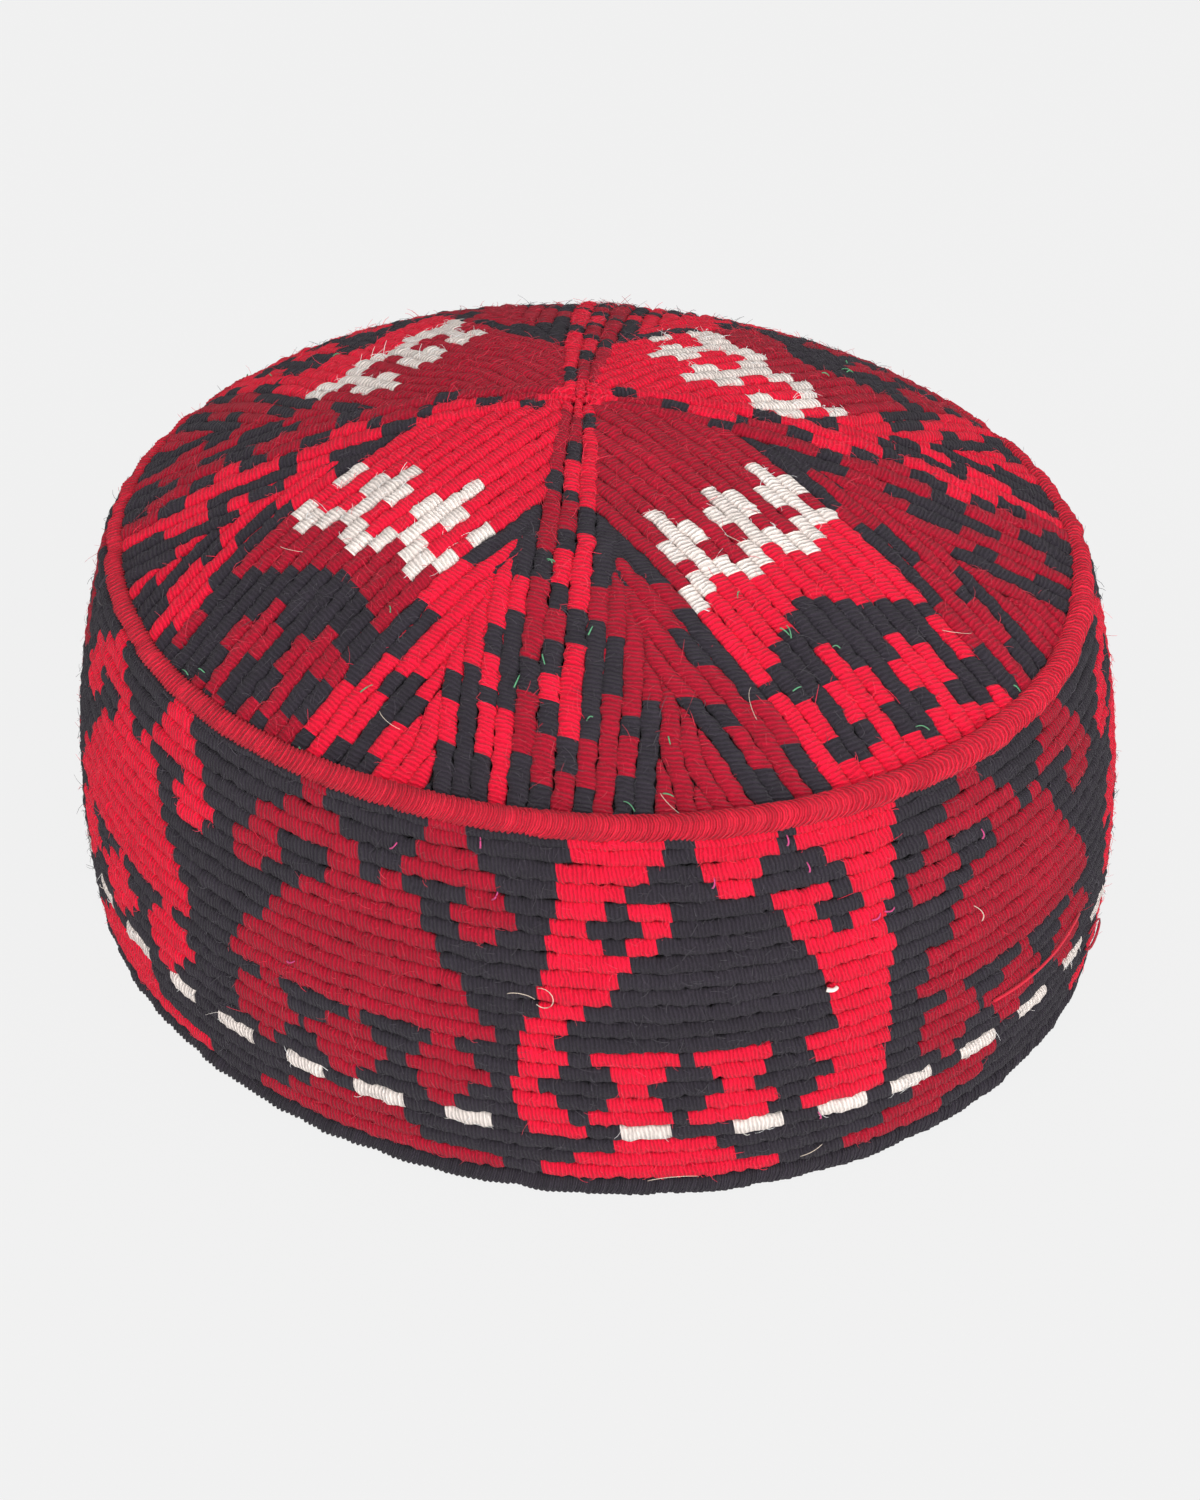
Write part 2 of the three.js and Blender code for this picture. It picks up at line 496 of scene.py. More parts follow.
    def skin(
        self,
        bag: MeshBag,
        grid: np.ndarray,
        places: np.ndarray,
        colours: np.ndarray,
        closed: bool,
    ) -> None:
        """Close the sections of a cord into a skin.

        Args:
            bag: The mesh to add to.
            grid: Points shaped (steps, sides, 3).
            places: Places along the cord.
            colours: A colour for each step.
            closed: Whether the last section meets the first.
        """
        steps, sides, _ = grid.shape
        if closed:
            grid = grid[:-1]
            steps -= 1
        rows = steps if closed else steps - 1
        row = np.arange(rows)[:, None]
        side = np.arange(sides)[None, :]
        after = (row + 1) % steps if closed else row + 1
        next_side = (side + 1) % sides
        here, ahead = row * sides, after * sides
        corners = [here + side, here + next_side, ahead + next_side, ahead + side]
        faces = np.stack(corners, axis=-1).reshape(-1, 4)
        begin = np.broadcast_to(places[:rows, None], (rows, sides))
        stop = np.broadcast_to(places[1 : rows + 1, None], (rows, sides))
        low = np.broadcast_to(side / sides, (rows, sides))
        high = low + 1.0 / sides
        pairs = [(begin, low), (begin, high), (stop, high), (stop, low)]
        uv = np.stack([np.stack(pair, axis=-1) for pair in pairs], axis=2).reshape(-1, 4, 2)
        shades = np.repeat(colours[:rows], sides, axis=0)
        points = grid.reshape(-1, 3)
        if not closed:
            caps, cap_uv = self.caps(steps, sides, places)
            faces = np.concatenate([faces, caps])
            uv = np.concatenate([uv, cap_uv])
            ends = np.repeat(colours[[0, -1]], len(caps) // 2, axis=0)
            shades = np.concatenate([shades, ends])
        bag.add(points, faces, shades, uv)

    @staticmethod
    def caps(steps: int, sides: int, places: np.ndarray) -> tuple[np.ndarray, np.ndarray]:
        """Faces that close the two ends of a cord.

        Args:
            steps: Number of sections.
            sides: Points in a section.
            places: Places along the cord.

        Returns:
            The faces and their coordinates.
        """
        last = (steps - 1) * sides
        fan = range(1, sides - 1)
        faces = [(0, k + 1, k, k) for k in fan]
        faces += [(last, last + k, last + k + 1, last + k + 1) for k in fan]
        uv = [[(places[end], 0.5)] * 4 for end in (0, -1) for _ in fan]
        return np.array(faces), np.array(uv)


class Shade:
    """A number socket in a material, so that sums on it add Math nodes."""

    def __init__(self, book: "NodeBook", socket: bpy.types.NodeSocket) -> None:
        """Keep the socket and the material that it is in."""
        self.book = book
        self.socket = socket

    def _with(self, operation: str, first: "Shade | float", second: "Shade | float") -> "Shade":
        """Result of one Math node on two numbers or sockets."""
        made = self.book.node("ShaderNodeMath", {"operation": operation}, {0: first, 1: second})
        return Shade(self.book, made.outputs[0])

    def __add__(self, other: "Shade | float") -> "Shade":
        """Sum."""
        return self._with("ADD", self, other)

    __radd__ = __add__

    def __mul__(self, other: "Shade | float") -> "Shade":
        """Product."""
        return self._with("MULTIPLY", self, other)

    __rmul__ = __mul__

    def sine(self) -> "Shade":
        """Sine."""
        return self._with("SINE", self, 0.0)


class NodeBook:
    """Adds nodes to one material."""

    def __init__(self, name: str) -> None:
        """Make the material with a bare Principled shader."""
        self.material = bpy.data.materials.new(name)
        self.material.use_nodes = True
        self.tree = self.material.node_tree
        self.shader = self.tree.nodes["Principled BSDF"]

    def node(self, kind: str, settings: dict | None = None, sockets: dict | None = None) -> bpy.types.Node:
        """Add a node.

        Args:
            kind: The node's type.
            settings: Its own settings, set first.
            sockets: Values or links of its sockets, by name or number.

        Returns:
            The node.
        """
        made = self.tree.nodes.new(kind)
        for key, value in (settings or {}).items():
            setattr(made, key, value)
        for key, value in (sockets or {}).items():
            self.feed(made.inputs[key], value)
        return made

    def feed(self, socket: bpy.types.NodeSocket, value: object) -> None:
        """Link a socket, or set its value."""
        if isinstance(value, Shade):
            value = value.socket
        if isinstance(value, bpy.types.NodeSocket):
            self.tree.links.new(value, socket)
        else:
            socket.default_value = value

    def noise(self, scale: float, vector: bpy.types.NodeSocket, detail: float = 2.0) -> Shade:
        """Noise from 0 to 1 on a vector."""
        sockets = {"Vector": vector, "Scale": scale, "Detail": detail}
        made = self.node("ShaderNodeTexNoise", {"noise_dimensions": "3D"}, sockets)
        return Shade(self, made.outputs["Fac"])

    def parts(self, vector: bpy.types.NodeSocket) -> tuple[Shade, Shade, Shade]:
        """The three numbers of a vector."""
        made = self.node("ShaderNodeSeparateXYZ", None, {"Vector": vector})
        x, y, z = (Shade(self, output) for output in made.outputs)
        return x, y, z

    def mix(self, way: str, factor: object, first: object, second: object) -> bpy.types.NodeSocket:
        """Two colours blended one way, such as ADD, by a factor."""
        settings = {"data_type": "RGBA", "blend_type": way}
        made = self.node("ShaderNodeMix", settings, {"Factor": factor, "A": first, "B": second})
        return made.outputs["Result"]

    def tinted(self, colour: object, factor: Shade) -> bpy.types.NodeSocket:
        """A colour made lighter or darker by a factor round 1."""
        grey = self.node("ShaderNodeCombineColor", None, {0: factor, 1: factor, 2: factor})
        return self.mix("MULTIPLY", 1.0, colour, grey.outputs[0])

    def relief(self, level: Shade, strength: float, distance: float) -> None:
        """Raise and lower the surface by a level."""
        sockets = {"Strength": strength, "Distance": distance, "Height": level}
        bump = self.node("ShaderNodeBump", None, sockets)
        self.feed(self.shader.inputs["Normal"], bump.outputs["Normal"])

    def constants(self, values: dict[str, float | tuple]) -> None:
        """Set numbers on the shader's own sockets."""
        for key, value in values.items():
            self.shader.inputs[key].default_value = value


@dataclass(frozen=True)
class WoolFinish:
    """Dyed wool wrapped round a cord, coloured by the mesh's own yarn attribute."""

    name: str
    wrap_pitch: float = 0.72  # mm along the cord from one turn of yarn to the next
    bump_distance: float = 0.0006
    bump_strength: float = 0.9
    roughness: float = 0.86
    sheen: float = 0.05
    sheen_roughness: float = 0.45
    specular: float = 0.12
    uneven: float = 0.6  # share of the colour that uneven tone and the painted shade between the turns can take away
    # Pale flecks added to the colour: painted highlights on the fuzz
    fuzz_highlights: float = 0.07
    highlight_range: tuple[float, float] = (0.57, 0.72)
    highlight_colour: tuple[float, float, float, float] = (0.3, 0.22, 0.22, 1.0)
    broad_scale: float = 95.0
    sway_scale: float = 360.0
    hair_scale: float = 3200.0
    strand_scale: float = 6.5
    drift: float = 25.0  # how far the strands move on with the broad noise
    wave_sway: float = 9.0

    # Shares in the colour of the wave (painted shade between the turns), strands, broad noise and wraps, then
    # in the relief of the wave, wraps, strands and hairs
    shade_parts: tuple[float, ...] = (0.7, 0.75, 0.35, 0.35)
    relief_parts: tuple[float, ...] = (0.8, 0.8, 0.6, 0.4)

    def make(self) -> bpy.types.Material:
        """Build the material."""
        book = NodeBook(self.name)
        place = book.node("ShaderNodeTexCoord").outputs["Object"]
        wrap = book.node("ShaderNodeUVMap", {"uv_map": "wrap"}).outputs["UV"]
        yarn = book.node("ShaderNodeAttribute", {"attribute_name": "yarn"}).outputs["Color"]
        run, turn, _ = book.parts(wrap)

        # Noises over the cap, and along the strands of each cord
        broad = book.noise(self.broad_scale, place)
        sway = book.noise(self.sway_scale, place)
        hairs = book.noise(self.hair_scale, place, 3.0)
        moved = {0: run, 1: turn, 2: broad * self.drift}
        shifted = book.node("ShaderNodeCombineXYZ", None, moved).outputs[0]
        wraps = book.noise(1.0 / self.wrap_pitch, shifted, 1.0)
        strands = book.noise(self.strand_scale, shifted, 2.0)
        # The wave is light on each turn of yarn and dark between turns: painted shade in the colour, and
        # relief as well
        wave = (run * (FULL_TURN / self.wrap_pitch) + sway * self.wave_sway).sine() * 0.5 + 0.5

        # Colour: the yarn with uneven tone, painted shade darkening it between the turns, and pale flecks of
        # painted highlight on the fuzz
        factor = 1.0 - self.uneven
        for part, share in zip((wave, strands, broad, wraps), self.shade_parts):
            factor = factor + part * (self.uneven * share)
        # Pale flecks where the hair and strand noises are high: painted highlight on the fuzz
        low, high = self.highlight_range
        limits = {"Value": hairs * 0.5 + strands * 0.5, "From Min": low, "From Max": high}
        highlight = Shade(book, book.node("ShaderNodeMapRange", None, limits).outputs["Result"])
        wool = book.mix("ADD", highlight * self.fuzz_highlights, book.tinted(yarn, factor), self.highlight_colour)
        book.feed(book.shader.inputs["Base Color"], wool)

        # Relief: the turns of yarn, their strands and hairs
        level = 0.0
        for part, share in zip((wave, wraps, strands, hairs), self.relief_parts):
            level = level + part * share
        book.relief(level, self.bump_strength, self.bump_distance)
        book.constants(
            {
                "Roughness": self.roughness,
                "Sheen Weight": self.sheen,
                "Sheen Roughness": self.sheen_roughness,
                "Specular IOR Level": self.specular,
            }
        )
        return book.material


@dataclass(frozen=True)
class FibreFinish:
    """Single fibres and thread ends, coloured by the mesh's own yarn attribute."""

    name: str = "loose_fibre"
    roughness: float = 0.8
    sheen: float = 0.1
    specular: float = 0.25

    def make(self) -> bpy.types.Material:
        """Build the material."""
        book = NodeBook(self.name)
        yarn = book.node("ShaderNodeAttribute", {"attribute_name": "yarn"}).outputs["Color"]
        book.feed(book.shader.inputs["Base Color"], yarn)
        book.constants(
            {
                "Roughness": self.roughness,
                "Sheen Weight": self.sheen,
                "Specular IOR Level": self.specular,
            }
        )
        return book.material


@dataclass(frozen=True)
class ClothFinish:
    """Plain woven backing cloth, seen inside the cap and deep between the cords."""

    name: str
    colour: tuple[float, float, float, float]
    weave: float = 0.0011  # metres from one thread to the next
    hair_scale: float = 1800.0
    hair_shade: float = 0.5
    darkest: float = 0.75
    weave_relief: float = 0.5
    hair_relief: float = 0.6
    bump_distance: float = 0.0002
    bump_strength: float = 0.5
    roughness: float = 0.9
    sheen: float = 0.15
    specular: float = 0.2

    def make(self) -> bpy.types.Material:
        """Build the material."""
        book = NodeBook(self.name)
        place = book.node("ShaderNodeTexCoord").outputs["Object"]
        x, y, z = book.parts(place)
        threads = FULL_TURN / self.weave
        rise = (z * threads).sine()
        across = ((x + y) * threads).sine()
        hairs = book.noise(self.hair_scale, place, 3.0)
        cloth = book.tinted(self.colour, hairs * self.hair_shade + self.darkest)
        book.feed(book.shader.inputs["Base Color"], cloth)
        level = rise * across * self.weave_relief + hairs * self.hair_relief
        book.relief(level, self.bump_strength, self.bump_distance)
        book.constants(
            {
                "Roughness": self.roughness,
                "Sheen Weight": self.sheen,
                "Specular IOR Level": self.specular,
            }
        )
        return book.material


@dataclass(frozen=True)
class FloorFinish:
    """Smooth pale paper under the cap, lit evenly enough to show no shadow."""

    name: str = "pale_floor"
    colour: tuple[float, float, float, float] = (0.02, 0.02, 0.02, 1.0)
    roughness: float = 0.9
    glow_colour: tuple[float, float, float, float] = (1.0, 1.0, 1.0, 1.0)
    glow: float = 0.853

    def make(self) -> bpy.types.Material:
        """Build the material."""
        book = NodeBook(self.name)
        book.constants(
            {
                "Base Color": self.colour,
                "Roughness": self.roughness,
                "Specular IOR Level": 0.0,
                "Emission Color": self.glow_colour,
                "Emission Strength": self.glow,
            }
        )
        return book.material


def deselect_all() -> None:
    """Leave object mode with nothing selected."""
    if bpy.context.object is not None and bpy.context.object.mode != "OBJECT":
        bpy.ops.object.mode_set(mode="OBJECT")
    bpy.ops.object.select_all(action="DESELECT")


def hand_over(piece: bpy.types.Object, nodes: Sequence[str] = ()) -> None:
    """Let a piece ride on the cap and the nodes that it stands for.

    Args:
        piece: The finished object.
        nodes: CAD nodes that it replaces.
    """
    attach(piece, "root")
    if nodes:
        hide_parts(*nodes)
    LOG.info("%s: %d faces", piece.name, len(piece.data.polygons))


def press_oval(piece: bpy.types.Object) -> None:
    """Press a round shell into the oval plan, vertex by vertex."""
    for vertex in piece.data.vertices:
        angle = math.atan2(vertex.co.y, vertex.co.x)
        factor = FORM.oval(angle)
        vertex.co.x *= factor
        vertex.co.y *= factor


def finish_wall(piece: bpy.types.Object, thickness: float) -> None:
    """Give a shell its inward thickness and smooth faces.

    Args:
        piece: The shell, its faces outward.
        thickness: Wall in mm.
    """
    smooth_below = math.radians(40.0)
    deselect_all()
    piece.select_set(True)
    bpy.context.view_layer.objects.active = piece
    solidify = piece.modifiers.new("wall", "SOLIDIFY")
    solidify.thickness = thickness * MM
    solidify.offset = -1.0
    bpy.ops.object.modifier_apply(modifier=solidify.name)
    bpy.ops.object.shade_smooth_by_angle(angle=smooth_below)


@dataclass
class FibreMaker:
    """Draws thin tapered fibres as closed three-sided tubes (mm)."""

    seed: int = SEED
    sides: int = 3
    segments: int = 3
    upright: float = 0.8  # fibres that point up more than this are turned from another helper axis
    curl: float = 0.8
    curl_reach: float = 0.6
    arch_share: float = 0.8  # how much of a half wave a fibre's arch takes, up to its limit
    arch_limit: float = 0.75
    length_shape: float = 3.0
    length_scale: float = 0.42
    least_length: float = 0.5
    rise: tuple[float, float] = (0.12, 0.55)
    root_depth: float = 0.08
    radius: tuple[float, float] = (0.035, 0.07)
    taper: float = 0.5
    lighter: tuple[float, float] = (1.1, 1.9)
    greyer: float = 0.03
    lightest: float = 0.85

    def __post_init__(self) -> None:
        """Start the seeded draws."""
        self.random = np.random.default_rng(self.seed)

    def tubes(self, bag: MeshBag, paths: np.ndarray, radii: np.ndarray, colours: np.ndarray) -> None:
        """Add tubes along many paths at once.

        Args:
            bag: Mesh to add to.
            paths: Points shaped (fibres, points, 3).
            radii: Radii shaped (fibres, points).
            colours: A colour for each fibre.
        """
        count, steps, _ = paths.shape
        sides = self.sides
        forward = unit(np.gradient(paths, axis=1))
        x_axis = np.array([1.0, 0.0, 0.0])
        z_axis = np.array([0.0, 0.0, 1.0])
        helper = np.where(np.abs(forward[..., 2:3]) > self.upright, x_axis, z_axis)
        first = unit(np.cross(forward, helper))
        second = np.cross(forward, first)
        rings = []
        for side in range(sides):
            turn = FULL_TURN * side / sides
            rings.append(paths + (first * math.cos(turn) + second * math.sin(turn)) * radii[..., None])
        grid = np.stack(rings, axis=2)
        corners = []
        for step in range(steps - 1):
            for side in range(sides):
                here = step * sides + side
                beside = step * sides + (side + 1) % sides
                corners.append((here, beside, beside + sides, here + sides))
        last = (steps - 1) * sides
        corners.append((2, 1, 0, 0))
        corners.append((last, last + 1, last + 2, last + 2))
        offsets = np.arange(count)[:, None, None] * steps * sides
        faces = (np.array(corners)[None] + offsets).reshape(-1, 4)
        shades = np.repeat(colours, len(corners), axis=0)
        bag.add(grid.reshape(-1, 3), faces, shades, np.zeros((len(faces), 4, 2)))

    def fuzz(self, bag: MeshBag, source: MeshBag, count: int, lift: float) -> None:
        """Add the short fibres that stand off the wool.

        Args:
            bag: Mesh to add to.
            source: The cords that they stand on.
            count: How many fibres.
            lift: 0 on the side and 1 on the crown.
        """
        random = self.random
        column = (count, 1)
        places, normals, colours = source.roots(random, count, lift)
        tangent = unit(np.cross(normals, random.normal(size=(count, 3))))
        curl = unit(np.cross(normals, tangent)) * random.uniform(-self.curl, self.curl, column)
        length = random.gamma(self.length_shape, self.length_scale, column) + self.least_length
        rise = random.uniform(*self.rise, column)
        share = np.linspace(0.0, 1.0, self.segments + 1)
        paths = []
        for part in share:
            wave = min(part * self.arch_share, self.arch_limit)
            arch = rise * math.sin(math.pi * wave) - self.root_depth
            sideways = tangent * part + curl * part * part * self.curl_reach
            paths.append(places + length * sideways + normals * arch)
        thick = random.uniform(*self.radius, column) * (1.0 - self.taper * share[None, :])
        colours = colours * random.uniform(*self.lighter, column) + random.uniform(0.0, self.greyer, column)
        self.tubes(bag, np.stack(paths, axis=1), thick, np.clip(colours, 0.0, self.lightest))


# Side panels: for each row from the top, where the panel's colours start and end, in chart steps
BRIGHT_PANEL: tuple[str, ...] = (
    "-12.0 R-3.8 K-1.15 R5.85 K7.6 R16.7",
    "-12.9 R-5.8 K-0.45 R4.5 K10.2 R16.5",
    "-13.2 R-7.25 K0.55 R3.8 K11.4 R16.5",
    "-13.2 R-8.8 K-6.85 R-3.3 K5.1 R10.4 K12.35 R16.2",
    "-13.9 R-10.4 K-5.7 R-3.1 K6.25 R8.9 K12.75 R16.4",
    "-13.9 R-9.5 K-6.95 R-4.7 K6.75 R10.1 K11.9 R15.1",
    "-13.9 R-6.75 K8.0 R15.3",
    "-14.3 R-7.8 K8.9 R15.7",
    "-14.5 R-8.6 K9.4 R15.6",
    "-14.6 R-10.75 K9.7 R15.3",
    "-15.5 R-11.9 K10.2 R15.4",
    "-15.8 R-12.9 K10.6 R15.4",
    "-16.3 R-11.9 K-9.8 R-2.75 K-1.5 R5.35 K7.8 R15.5",
    "-16.2 R-12.7 K-8.7 R-3.7 K-0.2 R4.3 K8.6 R15.5",
    "-16.5 R-14.35 K-7.45 R-5.3 K1.0 R3.5 K10.3 R15.1",
    "-16.3 R-12.7 K-8.8 R-4.0 K-0.65 R5.1 K8.8 R15.4",
    "-16.3 R-11.9 K-9.95 R-3.2 K-1.5 R4.9 K7.5 R15.5",
    "-15.4 R-10.5 K-7.25 W-3.0 K1.4 W6.25 K8.8 W13.5 K16.5",
    "-8.2 R0.6",
    "-11.3 R2.2",
    "-14.2 R5.75",
)
DARK_PANEL: tuple[str, ...] = (
    "-6.9 D-4.5 K6.2 D9.8",
    "-8.9 D-2.5 K5.5 D11.3",
    "-11.6 D-0.5 K4.2 D12.7",
    "-12.4 D-8.7 K-3.3 D0.55 K2.3 D4.3 K10.2 D13.75",
    "-14.3 D-8.0 K-3.5 D5.9 K8.8 D15.0",
    "-14.0 D-10.2 K-6.4 D6.3 K9.65 D13.4",
    "-7.9 D7.45",
    "-9.4 D8.3",
    "-9.7 D9.8",
    "-12.5 D10.8",
    "-12.5 D11.9",
    "-13.7 D12.7",
    "-10.2 D-8.0 K-0.35 D0.85 K7.95 D9.8",
    "-12.85 D-6.65 K-2.8 D1.85 K6.45 D11.4",
    "-13.2 D-5.95 K-5.35 D3.2 K5.3 D12.85",
    "-12.95 D-7.5 K-3.9 D1.95 K5.85 D10.9",
    "-10.6 D-8.7 K-2.7 D0.05 K7.15 D9.5",
    "-15.6 W-11.3 K-7.5 W-3.4 K-0.05 W4.8 K8.35 W12.65",
    "-4.95 D4.7",
    "-7.7 D6.05",
    "-11.0 D13.85",
)

# The dark panel on the right has a longer foot, which leans under the bright panel
RIGHT_FOOT: dict[int, str] = {
    18: "-13.5 D-2.8",
    19: "-16.2 D-4.8",
    20: "-19.8 D-9.6",
}


@dataclass
class SideBand:
    """The stiff upright side: backing cloth and 21 wrapped cords that run round it (mm)."""

    slot: str = "side_embroidery"

    # Rows of cords: heights of their edges above the table
    rows: int = 21
    upper_rows: int = 11
    top_edge: float = 71.78
    bottom_edge: float = 4.42
    under_seam: float = 75.2
    full_row: float = 3.1  # what stands above this in the top row becomes a short row of its own
    tuck: float = 0.45  # the short row's lap over the row below
    row_shift: tuple[tuple[float, float], ...] = (
        (0, -0.3), (1, -0.3), (3, -0.25), (5, 0.0), (9, 0.1), (12, 0.5), (17, 0.35), (20, 0.3),
    )
    edge_points: int = 720
    slant: float = -0.16
    crest: float = 0.55
    sink: float = 1.2

    # Pattern: turns in degrees from the front
    chart_step: float = 1.145
    bright_turn: float = 12.5
    dark_middle: float = -35.75
    repeats: int = 5
    filled: tuple[int, ...] = (1, 4)
    stretch: float = 0.091
    right_pull: tuple[tuple[float, float], ...] = (
        (28, 0.0), (36, -0.2), (44, -1.3), (52, -2.2), (61, -3.3), (80, -3.5), (120, 0.0),
    )
    shortest_gap: float = 0.05

    # Backing cloth
    wall_foot: float = 1.2
    wall_drop: float = 2.6
    wall_depth: float = 1.3
    wall_thickness: float = 2.1
    wall_rings: int = 20
    wall_sides: int = 144
    fibres: int = 8600

    def lower_edge(self, row: int) -> float:
        """Height of a row's lower edge; row 0 is half hidden under the seam."""
        even = self.top_edge - (self.top_edge - self.bottom_edge) * row / (self.rows - 1)
        return even + float(table_at(self.row_shift, row))

    def turned(self, pattern: np.ndarray) -> np.ndarray:
        """Angles from the front, in degrees, of places in the pattern."""
        reach, steps_per_degree = 420.0, 4
        angles = np.linspace(-reach, reach, int(2 * reach) * steps_per_degree + 1)
        places = angles - np.degrees(self.stretch * np.sin(np.radians(angles)))
        turned = np.interp(pattern, places, angles) + self.bright_turn
        return turned + table_at(self.right_pull, turned)

    def panel_row(self, panel: tuple[str, ...], repeat: int, row: int) -> str:
        """Chart row of a panel; the bright ones beside the front are drawn like the dark ones.

        Args:
            panel: The panel's chart.
            repeat: Number of the pair of panels, counted from the front.
            row: Row from the top.

        Returns:
            The row's text.
        """
        filled = panel is BRIGHT_PANEL and repeat in self.filled
        text = DARK_PANEL[row] if filled else panel[row]
        if repeat == 1 and (filled or panel is DARK_PANEL):
            text = RIGHT_FOOT.get(row, text)
        return text.replace("D", "R") if filled else text

    def row_runs(self, row: int) -> list[tuple[float, float, str]]:
        """Coloured stretches of a row.

        Args:
            row: Row from the top.

        Returns:
            Start and end angles from the front in degrees, and the yarn's letter.
        """
        found = []
        for repeat in range(self.repeats):
            for panel, middle in ((BRIGHT_PANEL, 0.0), (DARK_PANEL, self.dark_middle)):
                first, rest = self.panel_row(panel, repeat, row).split(maxsplit=1)
                begin = float(first)
                for letter, stop in parse_runs(rest):
                    ends = np.array([begin, stop]) * self.chart_step + middle + repeat * 360.0 / self.repeats
                    low, high = self.turned(ends)
                    if letter != Yarn.BLACK.value:
                        found.append((float(low), float(high), letter))
                    begin = stop
        return found

    def ring_runs(self, row: int, turns: np.ndarray, along: np.ndarray) -> Runs:
        """Colours of a whole ring, with black between the coloured stretches.

        Args:
            row: Row from the top.
            turns: Angles from the front at the ring's points, in degrees from -180 to 180.
            along: Distances along the ring at the same points.

        Returns:
            The colours and the distances where they end.
        """
        pieces = []
        for begin, stop, letter in self.row_runs(row):
            shift = 360.0 * math.floor((begin + 180.0) / 360.0)
            begin, stop = begin - shift, stop - shift
            pieces.append((begin, min(stop, 180.0), letter))
            if stop > 180.0:
                pieces.append((-180.0, stop - 360.0, letter))
        black = Yarn.BLACK.value
        runs: Runs = []
        place = -180.0
        for begin, stop, letter in sorted(pieces):
            if begin > place + self.shortest_gap:
                runs.append((black, float(np.interp(begin, turns, along))))
            if stop > place:
                runs.append((letter, float(np.interp(stop, turns, along))))
                place = stop
        runs.append((black, math.inf))
        return runs

    def ring(self, row: int) -> Strip:
        """Edges and colours of one cord.

        Args:
            row: Row from the top, or -1 for the short row under the seam in front.

        Returns:
            The closed strip.
        """
        turn = np.linspace(-math.pi, math.pi, self.edge_points + 1)
        angle = FRONT + turn
        low = np.full_like(angle, self.lower_edge(max(row, 0)))
        high = np.full_like(angle, self.lower_edge(row - 1))
        if row <= 0:
            lowest_short_row = 0.1
            top = self.under_seam - FORM.dip(angle)
            split = np.minimum(low + self.full_row, top - lowest_short_row)
            low, high = (split - self.tuck, top) if row < 0 else (low, split)
        left = FORM.side(low, angle)
        right = FORM.side(high, angle)
        middle = (left + right) / 2.0
        along = np.concatenate([[0.0], np.cumsum(np.linalg.norm(np.diff(middle, axis=0), axis=1))])
        forward = unit(np.roll(middle[:-1], -1, axis=0) - np.roll(middle[:-1], 1, axis=0))
        forward = np.concatenate([forward, forward[:1]])
        up = np.cross(forward, unit(right - left))
        runs = self.ring_runs(max(row, 0), np.degrees(turn), along)
        return Strip(left, right, up, along, runs, closed=True, crest=self.crest, sink=self.sink)

    def backing(self) -> bpy.types.Object:
        """Cloth behind the cords, a ring drawn up from a circle and given its thickness."""
        deselect_all()
        foot = self.wall_foot
        rise = (FORM.seam_height - self.wall_drop - foot) / self.wall_rings
        radius = float(FORM.side_radius(foot)) - self.wall_depth
        bpy.ops.mesh.primitive_circle_add(
            vertices=self.wall_sides, radius=radius * MM, location=(0.0, 0.0, foot * MM)
        )
        wall = bpy.context.object
        wall.name = "side_wall"
        bpy.ops.object.transform_apply(location=True)
        bpy.ops.object.mode_set(mode="EDIT")
        for ring in range(1, self.wall_rings + 1):
            height = foot + rise * ring
            bpy.ops.mesh.extrude_edges_move(TRANSFORM_OT_translate={"value": (0.0, 0.0, rise * MM)})
            wanted = float(FORM.side_radius(height)) - self.wall_depth
            share = wanted / radius
            bpy.ops.transform.resize(
                value=(share, share, 1.0), center_override=(0.0, 0.0, height * MM)
            )
            radius = wanted
        bpy.ops.mesh.select_all(action="SELECT")
        bpy.ops.mesh.normals_make_consistent(inside=False)
        bpy.ops.object.mode_set(mode="OBJECT")
        press_oval(wall)
        finish_wall(wall, self.wall_thickness)
        return wall

    def build(self, wool: bpy.types.Material, cloth: bpy.types.Material, fibre: bpy.types.Material) -> None:
        """Make the side's pieces and dress them.

        Args:
            wool: Finish of the cords.
            cloth: Finish of the backing.
            fibre: Finish of the fuzz.
        """
        wall = self.backing()
        wall.data.materials.append(cloth)
        hand_over(wall, ["side_band"])
        maker = CordMaker(slant=self.slant, wiggle=0.26, swell=0.08, seed=SIDE_SEED)
        halves = {
            "side_cords_upper": range(-1, self.upper_rows),
            "side_cords_lower": range(self.upper_rows, self.rows),
        }
        fluff = MeshBag()
        fibres = FibreMaker(seed=SIDE_FUZZ_SEED)
        for name, rows in halves.items():
            bag = MeshBag()
            for row in rows:
                maker.add(bag, self.ring(row))
            hand_over(bag.build(name, wool))
            fibres.fuzz(fluff, bag, self.fibres // len(halves), 0.0)
        hand_over(fluff.build("side_fuzz", fibre))


